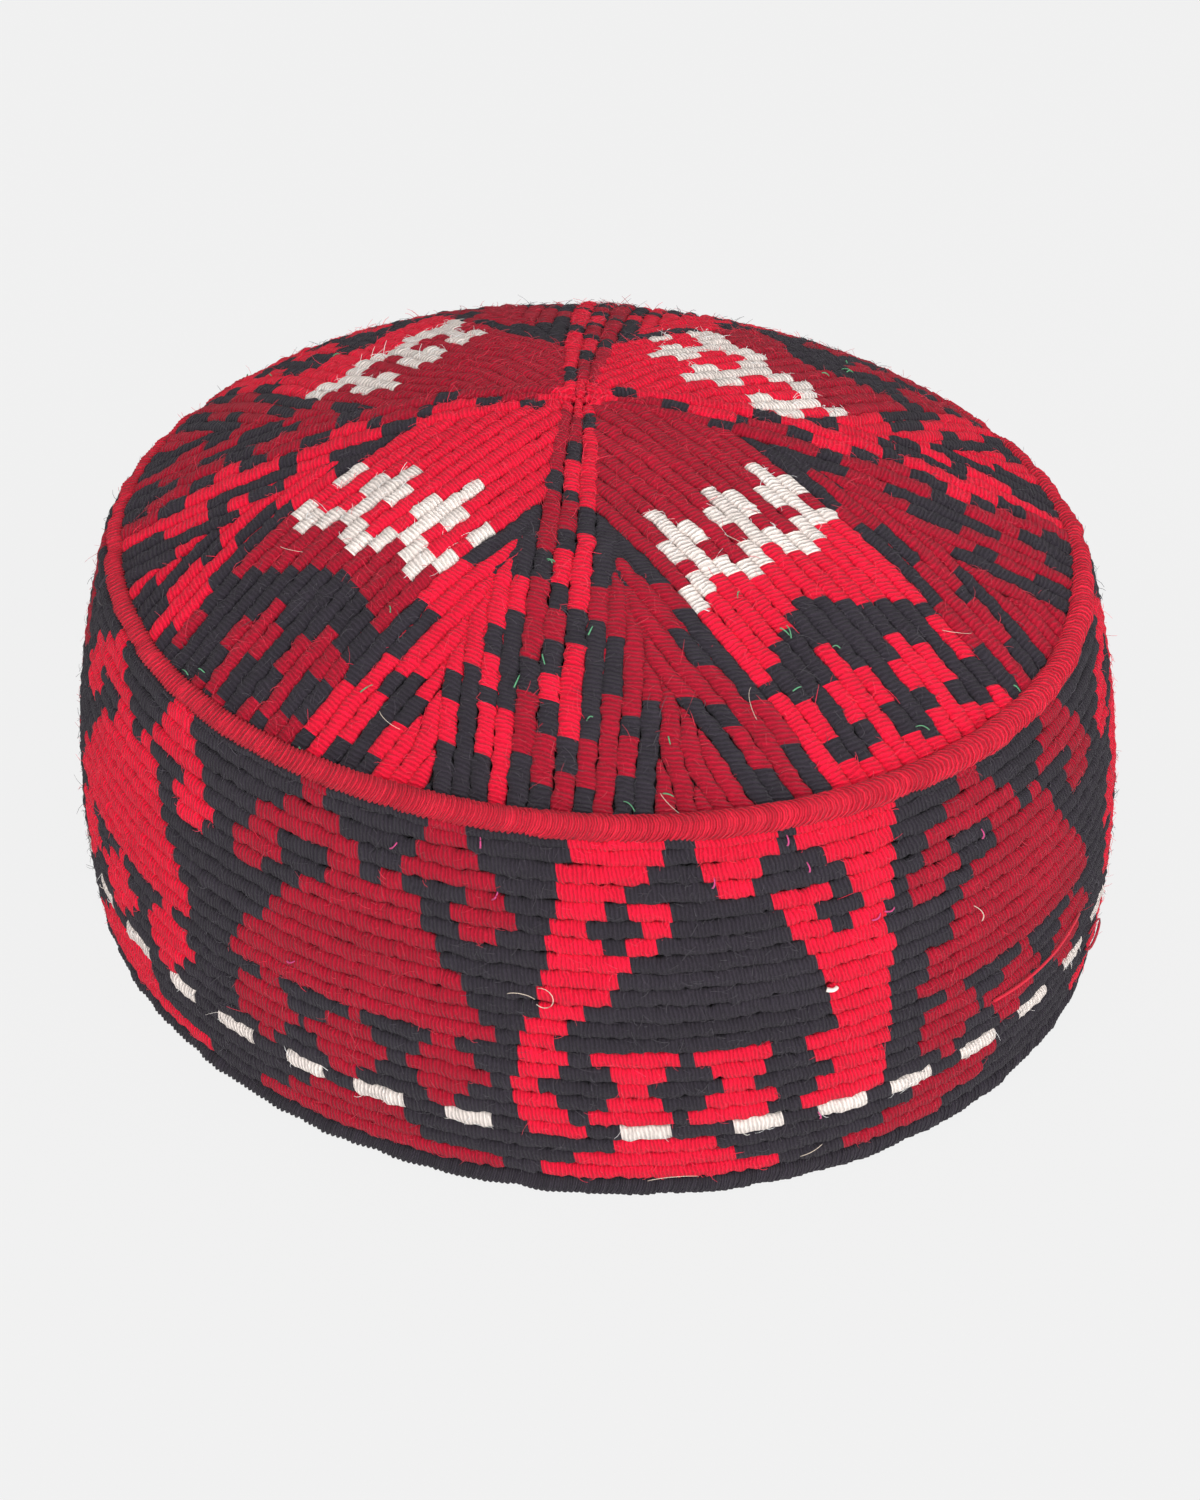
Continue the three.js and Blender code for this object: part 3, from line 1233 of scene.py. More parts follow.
@dataclass(frozen=True)
class PetalChart:
    """Rows of one quarter of the crown, counted from its first axis.

    turn is the petal's middle from the front. Each row of spread gives a distance out from the
    centre, the place of the row numbered by anchor, and the step from a row to the next.
    """

    turn: float
    anchor: float
    spread: tuple[tuple[float, float, float], ...]
    rows: tuple[str, ...]

    @property
    def middle(self) -> float:
        """Angle of the petal's middle from the front, in radians."""
        return math.radians(self.turn)

    @property
    def tip_yarn(self) -> Yarn:
        """The yarn at the petal's tip, which the gores beside it share."""
        return Yarn(self.rows[0][0])

    def edge(self, row: float, out: np.ndarray) -> np.ndarray:
        """Sideways place of a row, or of an edge halfway between two rows."""
        places, centres, steps = (np.array(column) for column in zip(*self.spread))
        return np.interp(out, places, centres) + np.interp(out, places, steps) * (row - self.anchor)

    def rim_turn(self, row: float, radius: np.ndarray) -> np.ndarray:
        """Angle from the petal's middle to a row's edge at distances from the centre."""
        rounds, least = 6, 1.0
        out = radius.copy()
        for _ in range(rounds):
            aside = self.edge(row, out)
            out = np.sqrt(np.maximum(radius**2 - aside**2, least))
        return np.arctan2(self.edge(row, out), out)


# Rows count from the lower side of each petal
FRONT_RIGHT = PetalChart(
    turn=42.5,
    anchor=5.5,
    spread=(
        (20, -1.6, -2.75),
        (37, -1.5, -2.86),
        (45, -1.3, -2.95),
        (55, -1.1, -3.11),
        (70, -0.7, -3.18),
        (77, -0.8, -3.28),
    ),
    rows=(
        "D34 W38.7 D42.5 W45 R62.5 K66.1 R73 K78 R",
        "D29.7 W44.8 R61.1 K81 R",
        "D33.6 W38.6 D41.8 W46.9 R60 K68.9 R74.6 K79.2 R",
        "D44 W48.8 R59 K66 R",
        "D33.6 W39 D42 W47.4 R57.8 K70 R74.5 K78.5 R",
        "D30.5 W43.8 R56 K81 R",
        "D33.9 W38.3 D42.2 W47 R54.8 K67.7 R74.8 K79.7 R",
        "D44.8 W48.3 R56.5 K62.7 R",
        "D34.7 W38.6 D42 W46.3 R58.3 K67.8 R74.5 K78.4 R",
        "D29.4 W44.5 R59 K79.7 R",
        "D35.3 W39 D42 W46.3 R60.8 K67.8 R74.2 K78.6 R",
        "D43.8 W48.5 R62.7 K65 R",
    ),
)
FRONT_LEFT = PetalChart(
    turn=-47.5,
    anchor=5.0,
    spread=(
        (20, -1.2, 3.05),
        (33, -2.3, 3.1),
        (38, -3.2, 3.14),
        (49, -4.9, 3.2),
        (60, -5.7, 3.25),
        (75, -6.2, 3.3),
    ),
    rows=(
        "R35.4 W41.8 R46.8 W50.7 D64 K71.5 D78.3 K82.4 D",
        "R47.4 W52.7 D62 K82.2 D",
        "R36.4 W41.8 R46.3 W50.2 D61 K83 D",
        "R32 W49 D59 K70 D75.7 K82 D",
        "R36.3 W41.5 R46.3 W51 D57.8 K65 D83 K",
        "R48 W52.6 D56.5 K68.7 D74.7 K82 D",
        "R36 W41.2 R45.3 W49.6 D55.5 K",
        "R29.2 W46.6 D57 K68.3 D74.5 K80.5 D",
        "R34.7 W40 R44.2 W48.7 D57.8 K65 D82 K",
        "R45 W50.6 D59 K67 D72.5 K80 D",
        "R35.2 W39.8 R42.3 W47 D60.5 K67.5 D72 K79 D",
    ),
)
BACK_RIGHT = PetalChart(
    turn=132.5,
    anchor=6.0,
    spread=((20, -2.6, -2.6), (30, -4.6, -2.72), (42, -5.2, -2.85), (60, -3.0, -3.0), (77, -1.0, -3.1)),
    rows=(
        "R27.8 W32.9 R38 W44 D60 K66 D73 K79 D",
        "R36.5 W44.2 D59 K80 D",
        "R25 W30.5 R36 W42.5 D58 K68 D74 K79 D",
        "R21.4 W41.6 D57 K64 D",
        "R24.6 W30 R36 W43 D54 K69 D74 K79 D",
        "R38 W44 D52 K81 D",
        "R23.6 W28.8 R34 W42 D51 K68 D74 K79 D",
        "R19.6 W38.5 D52 K62 D",
        "R24 W29 R35.5 W41.5 D54 K68 D74 K78.4 D",
        "R38.5 W43 D56 K79 D",
        "R25.5 W31 R36.5 W41 D58 K68 D74 K78.6 D",
        "R24.5 W39 D60 K65 D",
        "R27.5 W32.5 R38 W42 D60 K66 D73 K79 D",
    ),
)
BACK_LEFT = PetalChart(
    turn=-137.5,
    anchor=6.0,
    spread=((20, 3.2, 2.3), (31, 6.6, 2.42), (48, 6.6, 2.75), (60, 4.0, 3.0), (77, 2.0, 3.2)),
    rows=(
        "D45.5 W50.5 R61 K66 R73 K78 R",
        "D34.5 W39 D43 W48.5 R60 K81 R",
        "D34.5 W47.5 R60 K69 R74.6 K79.2 R",
        "D33.5 W38.6 D42.5 W48 R59 K66 R",
        "D43.5 W48.5 R57.8 K70 R74.5 K78.5 R",
        "D32.8 W37.6 D42 W47 R56 K81 R",
        "D31.5 W45.2 R54.8 K67.7 R74.8 K79.7 R",
        "D33 W38.6 D43 W47.6 R56.5 K62.7 R",
        "D43.8 W48.6 R58.3 K67.8 R74.5 K78.4 R",
        "D33.6 W38.4 D43 W47.6 R59 K79.7 R",
        "D31.6 W46.2 R60.8 K67.8 R74.2 K78.6 R",
        "D34.5 W39.5 D43.8 W48.5 R62.7 K65 R",
        "D44.5 W49.5 R60.8 K67.8 R74.2 K78.6 R",
    ),
)

# Half gores: charts of the cords from the petal's edge inwards, and from the axis cords inwards.
# Each starts with the distance from the centre where the cord begins.
RIGHT_GORE_PETAL: tuple[str, ...] = (
    "30 K46.4 D50.5 K67.5 D75.6 K",
    "37 K39.7 D54 K60.9 D",
    "47 D67.5 K71 D77.5 K",
    "54 D66 K",
    "57 D",
)
RIGHT_GORE_AXIS: tuple[str, ...] = (
    "30 K45.1 D51.7 K71.3 D79 K",
    "42 K39 D55.5 K64.5 D",
    "49 D67.3 K71 D77.5 K",
    "55 D65.5 K",
    "59 D67.5 K71.5 D76.5 K",
)
LEFT_GORE_AXIS: tuple[str, ...] = (
    "30 K44.8 R51.4 K67.8 R",
    "40 R54.5 K60 R65 K68 R76 K",
    "49 R62.5 K",
    "55 R64.5 K68 R75 K",
    "59 R69 K74 R79.9 K",
)
LEFT_GORE_PETAL: tuple[str, ...] = (
    "30 K45 R54.5 K71.5 R80.4 K",
    "39 R56 K64.5 R",
    "46 R67 K71.5 R79 K",
    "52 R66 K",
    "56 R70 K74.3 R79.9 K",
)

# The three cords of each axis, from left to right as seen from the seam
AXIS_CORDS: tuple[str, ...] = (
    "R5 D21.4 K26 D39.5 K44.5 D59.4 K65 D74.3 K",
    "R6.5 D13.8 K19 R26 K28.5 D35 K38.5 R45.5 K50 D56 K61.5 R66 K71.5 D79 K",
    "R6 K10.8 R29.5 K34.8 R50.8 K55 R72 K77 D",
)


@dataclass(frozen=True)
class HalfGore:
    """The wedge of crown between a petal and an axis band.

    low and high give the angles of its clockwise and counterclockwise edges at distances from
    the centre. The charts are of the cords from each of those edges inwards.
    """

    low: Callable[[np.ndarray], np.ndarray]
    high: Callable[[np.ndarray], np.ndarray]
    low_cords: tuple[str, ...]
    high_cords: tuple[str, ...]
    yarn: Yarn

    def cords(self, count: int) -> list[tuple[float, Runs]]:
        """Charts of the wedge's cords in order, with plain ones in the middle where more are needed.

        Args:
            count: How many cords fill the wedge.

        Returns:
            Where each cord starts, and its colours.
        """
        plain_start, plain_step = 58, 2
        first = self.low_cords[: min(count // 2, len(self.low_cords))]
        last = self.high_cords[: min(count - len(first), len(self.high_cords))]
        texts = list(first)
        for number in range(count - len(first) - len(last)):
            texts.append(f"{plain_start - plain_step * (number % 2)} {self.yarn.value}")
        texts.extend(reversed(last))
        found = []
        for text in texts:
            start, runs = text.split(maxsplit=1)
            found.append((float(start), parse_runs(runs)))
        return found


@dataclass
class Crown:
    """The domed top: backing cloth, petals of rows, half gores between them and axis cords (mm)."""

    slot: str = "crown_embroidery"
    reach: float = 85.3

    # Petals
    petal_points: int = 220
    petal_start: float = 3.0
    petal_over: float = 4.0  # rows are drawn this far past the reach, and then cut
    petal_crest: float = 0.62
    tuck: float = 1.6  # rows run this far in under the axis cords
    fewest_points: int = 8

    # Half gores
    gore_points: int = 260
    gore_start: float = 24.0
    gore_crest: float = 0.60
    gore_grow: float = 9.0
    gore_ahead: float = 2.5
    gore_edge_at: float = 70.0
    cord_width: float = 3.35
    fewest_cords: int = 4
    narrowest: float = 0.4
    start_room: float = 0.1  # share of a cord's width that must be free where it starts
    gore_fewest_points: int = 10
    bed_length: float = 44.0
    bed_crest: float = 0.2
    bed_narrowest: float = 0.8
    bed_black_to: float = 46.0

    # Axis cords: turns in degrees from the front, and places by distance from the centre
    axis_turns: tuple[float, ...] = (-2.5, 87.5, 177.5, -92.5)
    axis_spacing: tuple[tuple[float, float], ...] = (
        (0, 1.5), (8, 2.3), (20, 3.0), (42, 3.45), (60, 3.75), (85, 3.8),
    )
    front_bend: tuple[tuple[float, float], ...] = (
        (0, 0.0), (8, 0.3), (20, 0.8), (27, 1.2), (37, 1.7),
        (48, 3.0), (59, 3.8), (69, 4.4), (81, 5.4), (90, 5.9),
    )
    axis_points: int = 240
    axis_start: float = 0.3
    outer_start: float = 2.2
    axis_limit: float = 0.97  # largest share of the distance that a cord's edge lies to the side
    band_limit: float = 0.95
    axis_crest: float = 0.95

    # Backing cloth
    wall_inset: float = 1.0
    wall_depth: float = 1.5
    wall_thickness: float = 2.3
    wall_rings: int = 16
    wall_sides: int = 96
    fibres: int = 8600

    def bend(self, axis: int, out: np.ndarray) -> np.ndarray:
        """Sideways place of an axis band's middle; only the front one is bent."""
        return table_at(self.front_bend, out) if axis == 0 else np.zeros_like(out)

    def band_edge(self, axis: int, way: int, radius: np.ndarray) -> np.ndarray:
        """Angle from the front of a band's edge.

        Args:
            axis: Number of the axis.
            way: 1 for the edge that lies counterclockwise, -1 for the other.
            radius: Distances from the centre.

        Returns:
            Angles in radians, counterclockwise from the front.
        """
        half = len(AXIS_CORDS) / 2.0 * table_at(self.axis_spacing, radius)
        aside = -self.bend(axis, radius) + way * half
        return math.radians(self.axis_turns[axis]) + sideways_angle(aside, radius, self.band_limit)

    def strip(self, radii: np.ndarray, low: np.ndarray, high: np.ndarray, runs: Runs, crest: float) -> Strip:
        """Strip between two lists of angles.

        Args:
            radii: Distances from the centre along the strip, for both edges.
            low: Angles from the front of the clockwise edge.
            high: Angles from the front of the other edge.
            runs: Colours by distance.
            crest: Height of the cord above the surface.

        Returns:
            The strip.
        """
        left = FORM.crown(radii, FRONT + low)
        right = FORM.crown(radii, FRONT + high)
        up = self.normals(radii, FRONT + (low + high) / 2.0)
        return Strip(left, right, up, radii, runs, crest=crest)

    @staticmethod
    def normals(radius: np.ndarray, angle: np.ndarray) -> np.ndarray:
        """Outward directions of the crown."""
        small = 0.4
        out = FORM.crown(radius + small, angle) - FORM.crown(np.maximum(radius - small, 0.01), angle)
        turn = small / np.maximum(radius, 1.0)
        side = FORM.crown(radius, angle + turn) - FORM.crown(radius, angle - turn)
        return unit(np.cross(out, side))

    def petal(self, bag: MeshBag, maker: CordMaker, chart: PetalChart, first: int, second: int) -> None:
        """Add the rows of one petal.

        Args:
            bag: Mesh to add to.
            maker: Maker of the cords.
            chart: The petal's chart.
            first: Axis on the clockwise side.
            second: Axis on the counterclockwise side.
        """
        base = FRONT + chart.middle
        ahead = np.array([math.cos(base), math.sin(base)])
        across = np.array([-math.sin(base), math.cos(base)])
        for row, text in enumerate(chart.rows):
            out = np.linspace(self.petal_start, self.reach + self.petal_over, self.petal_points)
            low = chart.edge(row - 0.5, out)
            high = chart.edge(row + 0.5, out)
            keep = self.inside_bands(chart, out, (low + high) / 2.0, first, second)
            if keep.sum() < self.fewest_points:
                continue
            out, low, high = out[keep], low[keep], high[keep]
            edges = []
            for aside in (low, high):
                plan = out[:, None] * ahead[None, :] + aside[:, None] * across[None, :]
                edges.append(FORM.crown_xy(plan[:, 0], plan[:, 1]))
            middle = (low + high) / 2.0
            up = self.normals(np.hypot(out, middle), base + np.arctan2(middle, out))
            if edges_flip(edges[0], edges[1], up):
                edges.reverse()
            strip = Strip(edges[0], edges[1], up, out, parse_runs(text), crest=self.petal_crest)
            maker.add(bag, strip)

    def inside_bands(
        self,
        chart: PetalChart,
        out: np.ndarray,
        aside: np.ndarray,
        first: int,
        second: int,
    ) -> np.ndarray:
        """Which points of a petal's row lie between the two axis bands beside it.

        Args:
            chart: The petal's chart.
            out: Distances out from the centre, along the petal.
            aside: Sideways places of the row's middle.
            first: Axis on the clockwise side.
            second: Axis on the counterclockwise side.

        Returns:
            True where the row is drawn.
        """
        radius = np.hypot(out, aside)
        turn = chart.middle + np.arctan2(aside, out)
        open_low = turn - near_angle(self.band_edge(first, 1, radius), chart.middle)
        open_high = near_angle(self.band_edge(second, -1, radius), chart.middle) - turn
        clear = np.minimum(open_low, open_high) * radius + self.tuck > 0.0
        return clear & (radius < self.reach) & (out >= out[np.argmax(clear)])

    def gore(self, bag: MeshBag, maker: CordMaker, wedge: HalfGore) -> None:
        """Fill a half gore with cords that fan out.

        Args:
            bag: Mesh to add to.
            maker: Maker of the cords.
            wedge: The half gore.
        """
        radii = np.linspace(self.gore_start, self.reach, self.gore_points)
        low, high = wedge.low(radii), wedge.high(radii)
        span = high - low
        room = span * radii
        count = max(self.fewest_cords, int(round(float(room[-1]) / self.cord_width)))
        cords = wedge.cords(count)

        # Each cord starts where the wedge has room for it, and pushes the others aside as it grows
        rank = np.argsort(np.argsort([start for start, _ in cords], kind="stable"))
        needed = self.cord_width * (rank + self.start_room)
        starts = np.array([radii[int(np.argmax(room > width))] for width in needed])
        grown = (radii[:, None] - starts[None, :] + self.gore_ahead) / self.gore_grow
        weights = smoothstep(0.0, 1.0, grown)
        least = 1e-6
        total = np.maximum(weights.sum(axis=1), least)
        none = np.zeros((len(radii), 1))
        edges = np.concatenate([none, np.cumsum(weights, axis=1)], axis=1) / total[:, None]

        # A flat bed closes the wedge's narrow end under the first cords
        bed = (room > self.bed_narrowest) & (radii < radii[0] + self.bed_length)
        bed_runs = [(Yarn.BLACK.value, self.bed_black_to), (wedge.yarn.value, math.inf)]
        maker.add(bag, self.strip(radii[bed], low[bed], high[bed], bed_runs, self.bed_crest))
        for number, (_, runs) in enumerate(cords):
            keep = (radii >= starts[number]) & (room > self.narrowest)
            if keep.sum() < self.gore_fewest_points:
                continue
            begin = (low + span * edges[:, number])[keep]
            end = (low + span * edges[:, number + 1])[keep]
            maker.add(bag, self.strip(radii[keep], begin, end, runs, self.gore_crest))

    def gores_of(self, bag: MeshBag, maker: CordMaker, chart: PetalChart, first: int, second: int) -> None:
        """Add the two half gores beside a petal.

        Args:
            bag: Mesh to add to.
            maker: Maker of the cords.
            chart: The petal's chart.
            first: Axis on the clockwise side.
            second: Axis on the counterclockwise side.
        """
        turn = chart.middle
        rows = (-0.5, len(chart.rows) - 0.5)
        place = np.array([self.gore_edge_at])
        low_row, high_row = sorted(rows, key=lambda row: float(chart.rim_turn(row, place)[0]))

        def petal_low(radius: np.ndarray) -> np.ndarray:
            """Clockwise edge of the petal."""
            return turn + chart.rim_turn(low_row, radius)

        def petal_high(radius: np.ndarray) -> np.ndarray:
            """Counterclockwise edge of the petal."""
            return turn + chart.rim_turn(high_row, radius)

        def band_low(radius: np.ndarray) -> np.ndarray:
            """Edge of the band on the clockwise side."""
            return near_angle(self.band_edge(first, 1, radius), turn)

        def band_high(radius: np.ndarray) -> np.ndarray:
            """Edge of the band on the counterclockwise side."""
            return near_angle(self.band_edge(second, -1, radius), turn)

        yarn = chart.tip_yarn
        dark = yarn is Yarn.DARK_RED
        petal_cords = RIGHT_GORE_PETAL if dark else LEFT_GORE_PETAL
        axis_cords = RIGHT_GORE_AXIS if dark else LEFT_GORE_AXIS
        self.gore(bag, maker, HalfGore(band_low, petal_low, axis_cords, petal_cords, yarn))
        self.gore(bag, maker, HalfGore(petal_high, band_high, petal_cords, axis_cords, yarn))

    def axis_cords(self, bag: MeshBag, maker: CordMaker) -> None:
        """Add the three raised cords of each axis."""
        radii = np.linspace(self.axis_start, self.reach, self.axis_points)
        spacing = table_at(self.axis_spacing, radii)
        for axis, turn in enumerate(self.axis_turns):
            base = math.radians(turn)
            for lane, text in zip((-1, 0, 1), AXIS_CORDS):
                middle = -self.bend(axis, radii) + lane * spacing
                low = base + sideways_angle(middle - spacing / 2.0, radii, self.axis_limit)
                high = base + sideways_angle(middle + spacing / 2.0, radii, self.axis_limit)
                keep = radii > (self.outer_start if lane else self.axis_start)
                runs = parse_runs(text)
                maker.add(bag, self.strip(radii[keep], low[keep], high[keep], runs, self.axis_crest))

    def backing(self) -> bpy.types.Object:
        """Cloth under the cords: a disc drawn in ring by ring, pressed to the dome and thickened."""
        deselect_all()
        centre = (0.0, 0.0, 0.0)
        edge = FORM.seam_radius - self.wall_inset
        bpy.ops.mesh.primitive_circle_add(vertices=self.wall_sides, radius=edge * MM, location=centre)
        wall = bpy.context.object
        wall.name = "crown_wall"
        bpy.ops.object.mode_set(mode="EDIT")
        radius = edge
        for ring in range(1, self.wall_rings):
            wanted = edge * (1.0 - ring / self.wall_rings)
            bpy.ops.mesh.extrude_edges_move()
            share = wanted / radius
            bpy.ops.transform.resize(value=(share, share, 1.0), center_override=centre)
            radius = wanted
        bpy.ops.mesh.extrude_edges_move()
        bpy.ops.mesh.merge(type="CENTER")
        bpy.ops.mesh.select_all(action="SELECT")
        bpy.ops.mesh.normals_make_consistent(inside=False)
        bpy.ops.object.mode_set(mode="OBJECT")
        if sum(face.normal.z for face in wall.data.polygons) < 0.0:
            wall.data.flip_normals()
        self.press_dome(wall)
        finish_wall(wall, self.wall_thickness)
        return wall

    def press_dome(self, wall: bpy.types.Object) -> None:
        """Raise a flat disc to the crown's dome, vertex by vertex."""
        for vertex in wall.data.vertices:
            radius = np.array(math.hypot(vertex.co.x, vertex.co.y) / MM)
            angle = np.array(math.atan2(vertex.co.y, vertex.co.x))
            vertex.co = Vector(FORM.crown(radius, angle, -self.wall_depth) * MM)

    def build(self, wool: bpy.types.Material, cloth: bpy.types.Material, fibre: bpy.types.Material) -> None:
        """Make the crown's pieces and dress them.

        Args:
            wool: Finish of the cords.
            cloth: Finish of the backing.
            fibre: Finish of the fuzz.
        """
        wall = self.backing()
        wall.data.materials.append(cloth)
        hand_over(wall, ["crown"])
        maker = CordMaker(seed=CROWN_SEED)
        petals = ((FRONT_RIGHT, 0, 1), (BACK_RIGHT, 1, 2), (BACK_LEFT, 2, 3), (FRONT_LEFT, 3, 0))
        names = ("petal_cords_right", "petal_cords_left", "gore_cords", "axis_cords")
        bags = {name: MeshBag() for name in names}
        for name, chosen in (("petal_cords_right", petals[:2]), ("petal_cords_left", petals[2:])):
            for chart, first, second in chosen:
                self.petal(bags[name], maker, chart, first, second)
        for chart, first, second in petals:
            self.gores_of(bags["gore_cords"], maker, chart, first, second)
        lumpy = CordMaker(wiggle=0.24, swell=0.1, lump=0.06, overlap=1.1, seed=AXIS_SEED)
        self.axis_cords(bags["axis_cords"], lumpy)
        fluff = MeshBag()
        fibres = FibreMaker(seed=CROWN_FUZZ_SEED)
        for name, bag in bags.items():
            hand_over(bag.build(name, wool))
            fibres.fuzz(fluff, bag, self.fibres // len(bags), 1.0)
        hand_over(fluff.build("crown_fuzz", fibre))


@dataclass
class OvercastCord:
    """A cord or edge wrapped all round with slanting stitches (mm)."""

    name: str
    slot: str
    node: str
    yarn: Yarn
    centre_radius: float
    centre_height: float
    half_width: float
    half_height: float
    stitch: float
    slant: float
    on_table: bool = False
    table_gap: float = 0.05
    ridge: float = 0.06
    ridge_level: float = 1.2  # 1 would leave the mean thickness as it is
    lean_across: float = 0.6  # share of the slant that also goes with the section's width
    squareness: float = 1.0
    uneven: float = 0.05
    wobble: float = 0.1
    swings: tuple[tuple[int, float, float], ...] = (  # times round the cap, reach and start
        (23, 0.2, 0.6), (41, 0.2, 0.0), (67, 0.17, 0.0),
    )
    swing_out: float = 0.6
    swing_up: float = 0.5
    girths: tuple[tuple[float, float], ...] = ((-180, 1.0), (180, 1.0))
    shade_spread: float = 0.13
    sides: int = 12
    steps_per_stitch: int = 4
    seed: int = SEED

    def girth(self, angle: np.ndarray) -> np.ndarray:
        """Share of the cord's thickness round the cap, from the short table."""
        return table_at(self.girths, np.degrees(near_angle(angle - FRONT, 0.0)))

    def sway(self, angle: np.ndarray, random: np.random.Generator) -> np.ndarray:
        """How far the cord strays from a smooth ring.

        Args:
            angle: Angles of its steps.
            random: Seeded draws.

        Returns:
            The distance at each step.
        """
        swings = sum(reach * np.sin(angle * count + start) for count, reach, start in self.swings)
        knots = angle[:: self.steps_per_stitch * 2]
        return swings + self.wobble * np.interp(angle, knots, random.normal(size=len(knots)))

    def build(self, wool: bpy.types.Material) -> None:
        """Make the ring with its stitches and dress it."""
        random = np.random.default_rng(self.seed)
        length = FULL_TURN * self.centre_radius
        stitches = int(round(length / self.stitch))
        steps = stitches * self.steps_per_stitch
        step = np.arange(steps)
        angle = FRONT + FULL_TURN * step / steps

        # Section of the cord, and how its thickness changes along it
        turns = FULL_TURN * np.arange(self.sides) / self.sides
        across = np.sign(np.cos(turns)) * np.abs(np.cos(turns)) ** self.squareness
        rise = np.sign(np.sin(turns)) * np.abs(np.sin(turns)) ** self.squareness
        wave = np.abs(np.sin(math.pi * step / self.steps_per_stitch))
        ridge = 1.0 + self.ridge * (2.0 * wave - self.ridge_level)
        uneven = 1.0 + self.uneven * np.repeat(random.uniform(-1.0, 1.0, stitches), self.steps_per_stitch)
        grow = (ridge * uneven * self.girth(angle))[:, None]
        sway = self.sway(angle, random)[:, None]

        lean = self.slant * (np.sin(turns) + self.lean_across * np.cos(turns))
        places = angle[:, None] + lean[None, :] / self.centre_radius
        radius = self.centre_radius + self.swing_out * sway + self.half_width * across * grow
        height = self.centre_height + self.half_height * rise * grow
        if self.on_table:
            height = np.maximum(height, self.table_gap)
        else:
            height = height + self.swing_up * sway - FORM.dip(angle)[:, None]
        grid = FORM.plan(radius, height, places)

        shade = 1.0 + random.uniform(-self.shade_spread, self.shade_spread, stitches)
        tones = np.repeat(shade, self.steps_per_stitch)[:, None] * np.array(YARN_COLOURS[self.yarn])
        closed = np.concatenate([grid, grid[:1]])
        along = np.arange(steps + 1) * length / steps
        bag = MeshBag()
        CordMaker().skin(bag, closed[:, ::-1], along, tones, True)
        hand_over(bag.build(self.name, wool), [self.node])


@dataclass(frozen=True)
class Stray:
    """One loose thread end or hair that lies on the cap (mm).

    turn is its place from the front in degrees and reach its height on the side, or its distance
    from the centre on the crown. aside moves it sideways. heading is in degrees from level on the
    side, and from outwards on the crown, and curl is how far it bends from end to end, in radians.
    """

    turn: float
    reach: float
    length: float
    heading: float
    curl: float
    yarn: Yarn
    radius: float
    aside: float = 0.0
    lift: float = 1.0
    on_crown: bool = False


def crown_bits() -> list[Stray]:
    """Green basting ends and pale hairs on the crown, by distance from the centre and to the side."""
    front = (
        (42, 4), (58.5, 5.5), (64.5, 10.5), (68.5, -3.5), (79, -15), (82.5, -10.7), (70, -16), (55, -2.3),
    )
    right = ((64.8, 3.5), (57.5, 10), (60, 9.8), (49.5, 11), (66.5, 16), (81, -0.5), (80, -20.5))
    left = ((58, -11.5), (83, -14.7), (70.7, -17.2), (32, -27), (81, 14), (84, 15))
    back_right, back_left = right[:4], left[:3]
    groups = ((-2.5, front), (42.5, right), (-47.5, left), (132.5, back_right), (-137.5, back_left))
    hairs = ((-30, 74, 40), (8, 80, 10), (24, 66, -50), (55, 70, 20), (-65, 60, 80), (35, 40, 0))
    shortest, longer, swing = 1.3, 0.5, 70.0
    found = []
    for turn, places in groups:
        for number, (reach, aside) in enumerate(places):
            length = shortest + longer * (number % 3)
            heading = swing * ((number * 7) % 5 - 2)
            found.append(
                Stray(turn, reach, length, heading, 0.5, Yarn.GREEN, 0.15, aside, 0.6, on_crown=True)
            )
    for turn, reach, heading in hairs:
        found.append(Stray(turn, reach, 5.5, heading, 1.1, Yarn.PALE, 0.055, on_crown=True))
    return found


def side_bits() -> list[Stray]:
    """Pink and white thread ends, hairs and the loose red thread on the side."""
    pink = (
        (-23, 69.2, 30), (-12.5, 72.8, 75), (-11, 64, 40), (20.8, 73.2, 70), (12.5, 67.5, 60), (23, 67.8, 80),
        (29.5, 56, 10), (24, 15.5, 85), (44, 62, 70), (31, 57, -15), (-35, 40, 5),
    )
    found = []
    for turn, height, heading in pink:
        found.append(Stray(turn, height, 1.9, heading, 0.6, Yarn.PINK, 0.19, lift=0.6))
    found.append(Stray(24.2, 44.8, 1.9, 0.0, 0.1, Yarn.WHITE, 0.5, lift=0.75))
    found.append(Stray(-9.2, 46.3, 5.5, 48.0, -1.7, Yarn.PALE, 0.09))
    found.append(Stray(-6.2, 45.8, 8.0, -45.0, 4.2, Yarn.PALE, 0.09))
    found.append(Stray(5.5, 4.6, 9.5, 38.0, -1.1, Yarn.PALE, 0.07))
    found.append(Stray(22.0, 6.6, 4.5, 48.0, -0.7, Yarn.PALE, 0.08))
    found.append(Stray(43.0, 46.0, 4.5, 80.0, 1.0, Yarn.PALE, 0.11))
    found.append(Stray(43.5, 26.6, 27.0, -1.0, 0.12, Yarn.SEAM_RED, 0.36))
    found.append(Stray(65.0, 14.0, 15.0, -70.0, 5.0, Yarn.DARK_RED, 0.36))
    found.append(Stray(-78.0, 74.0, 6.0, 60.0, 1.5, Yarn.BLACK, 0.3, lift=2.0))
    return found


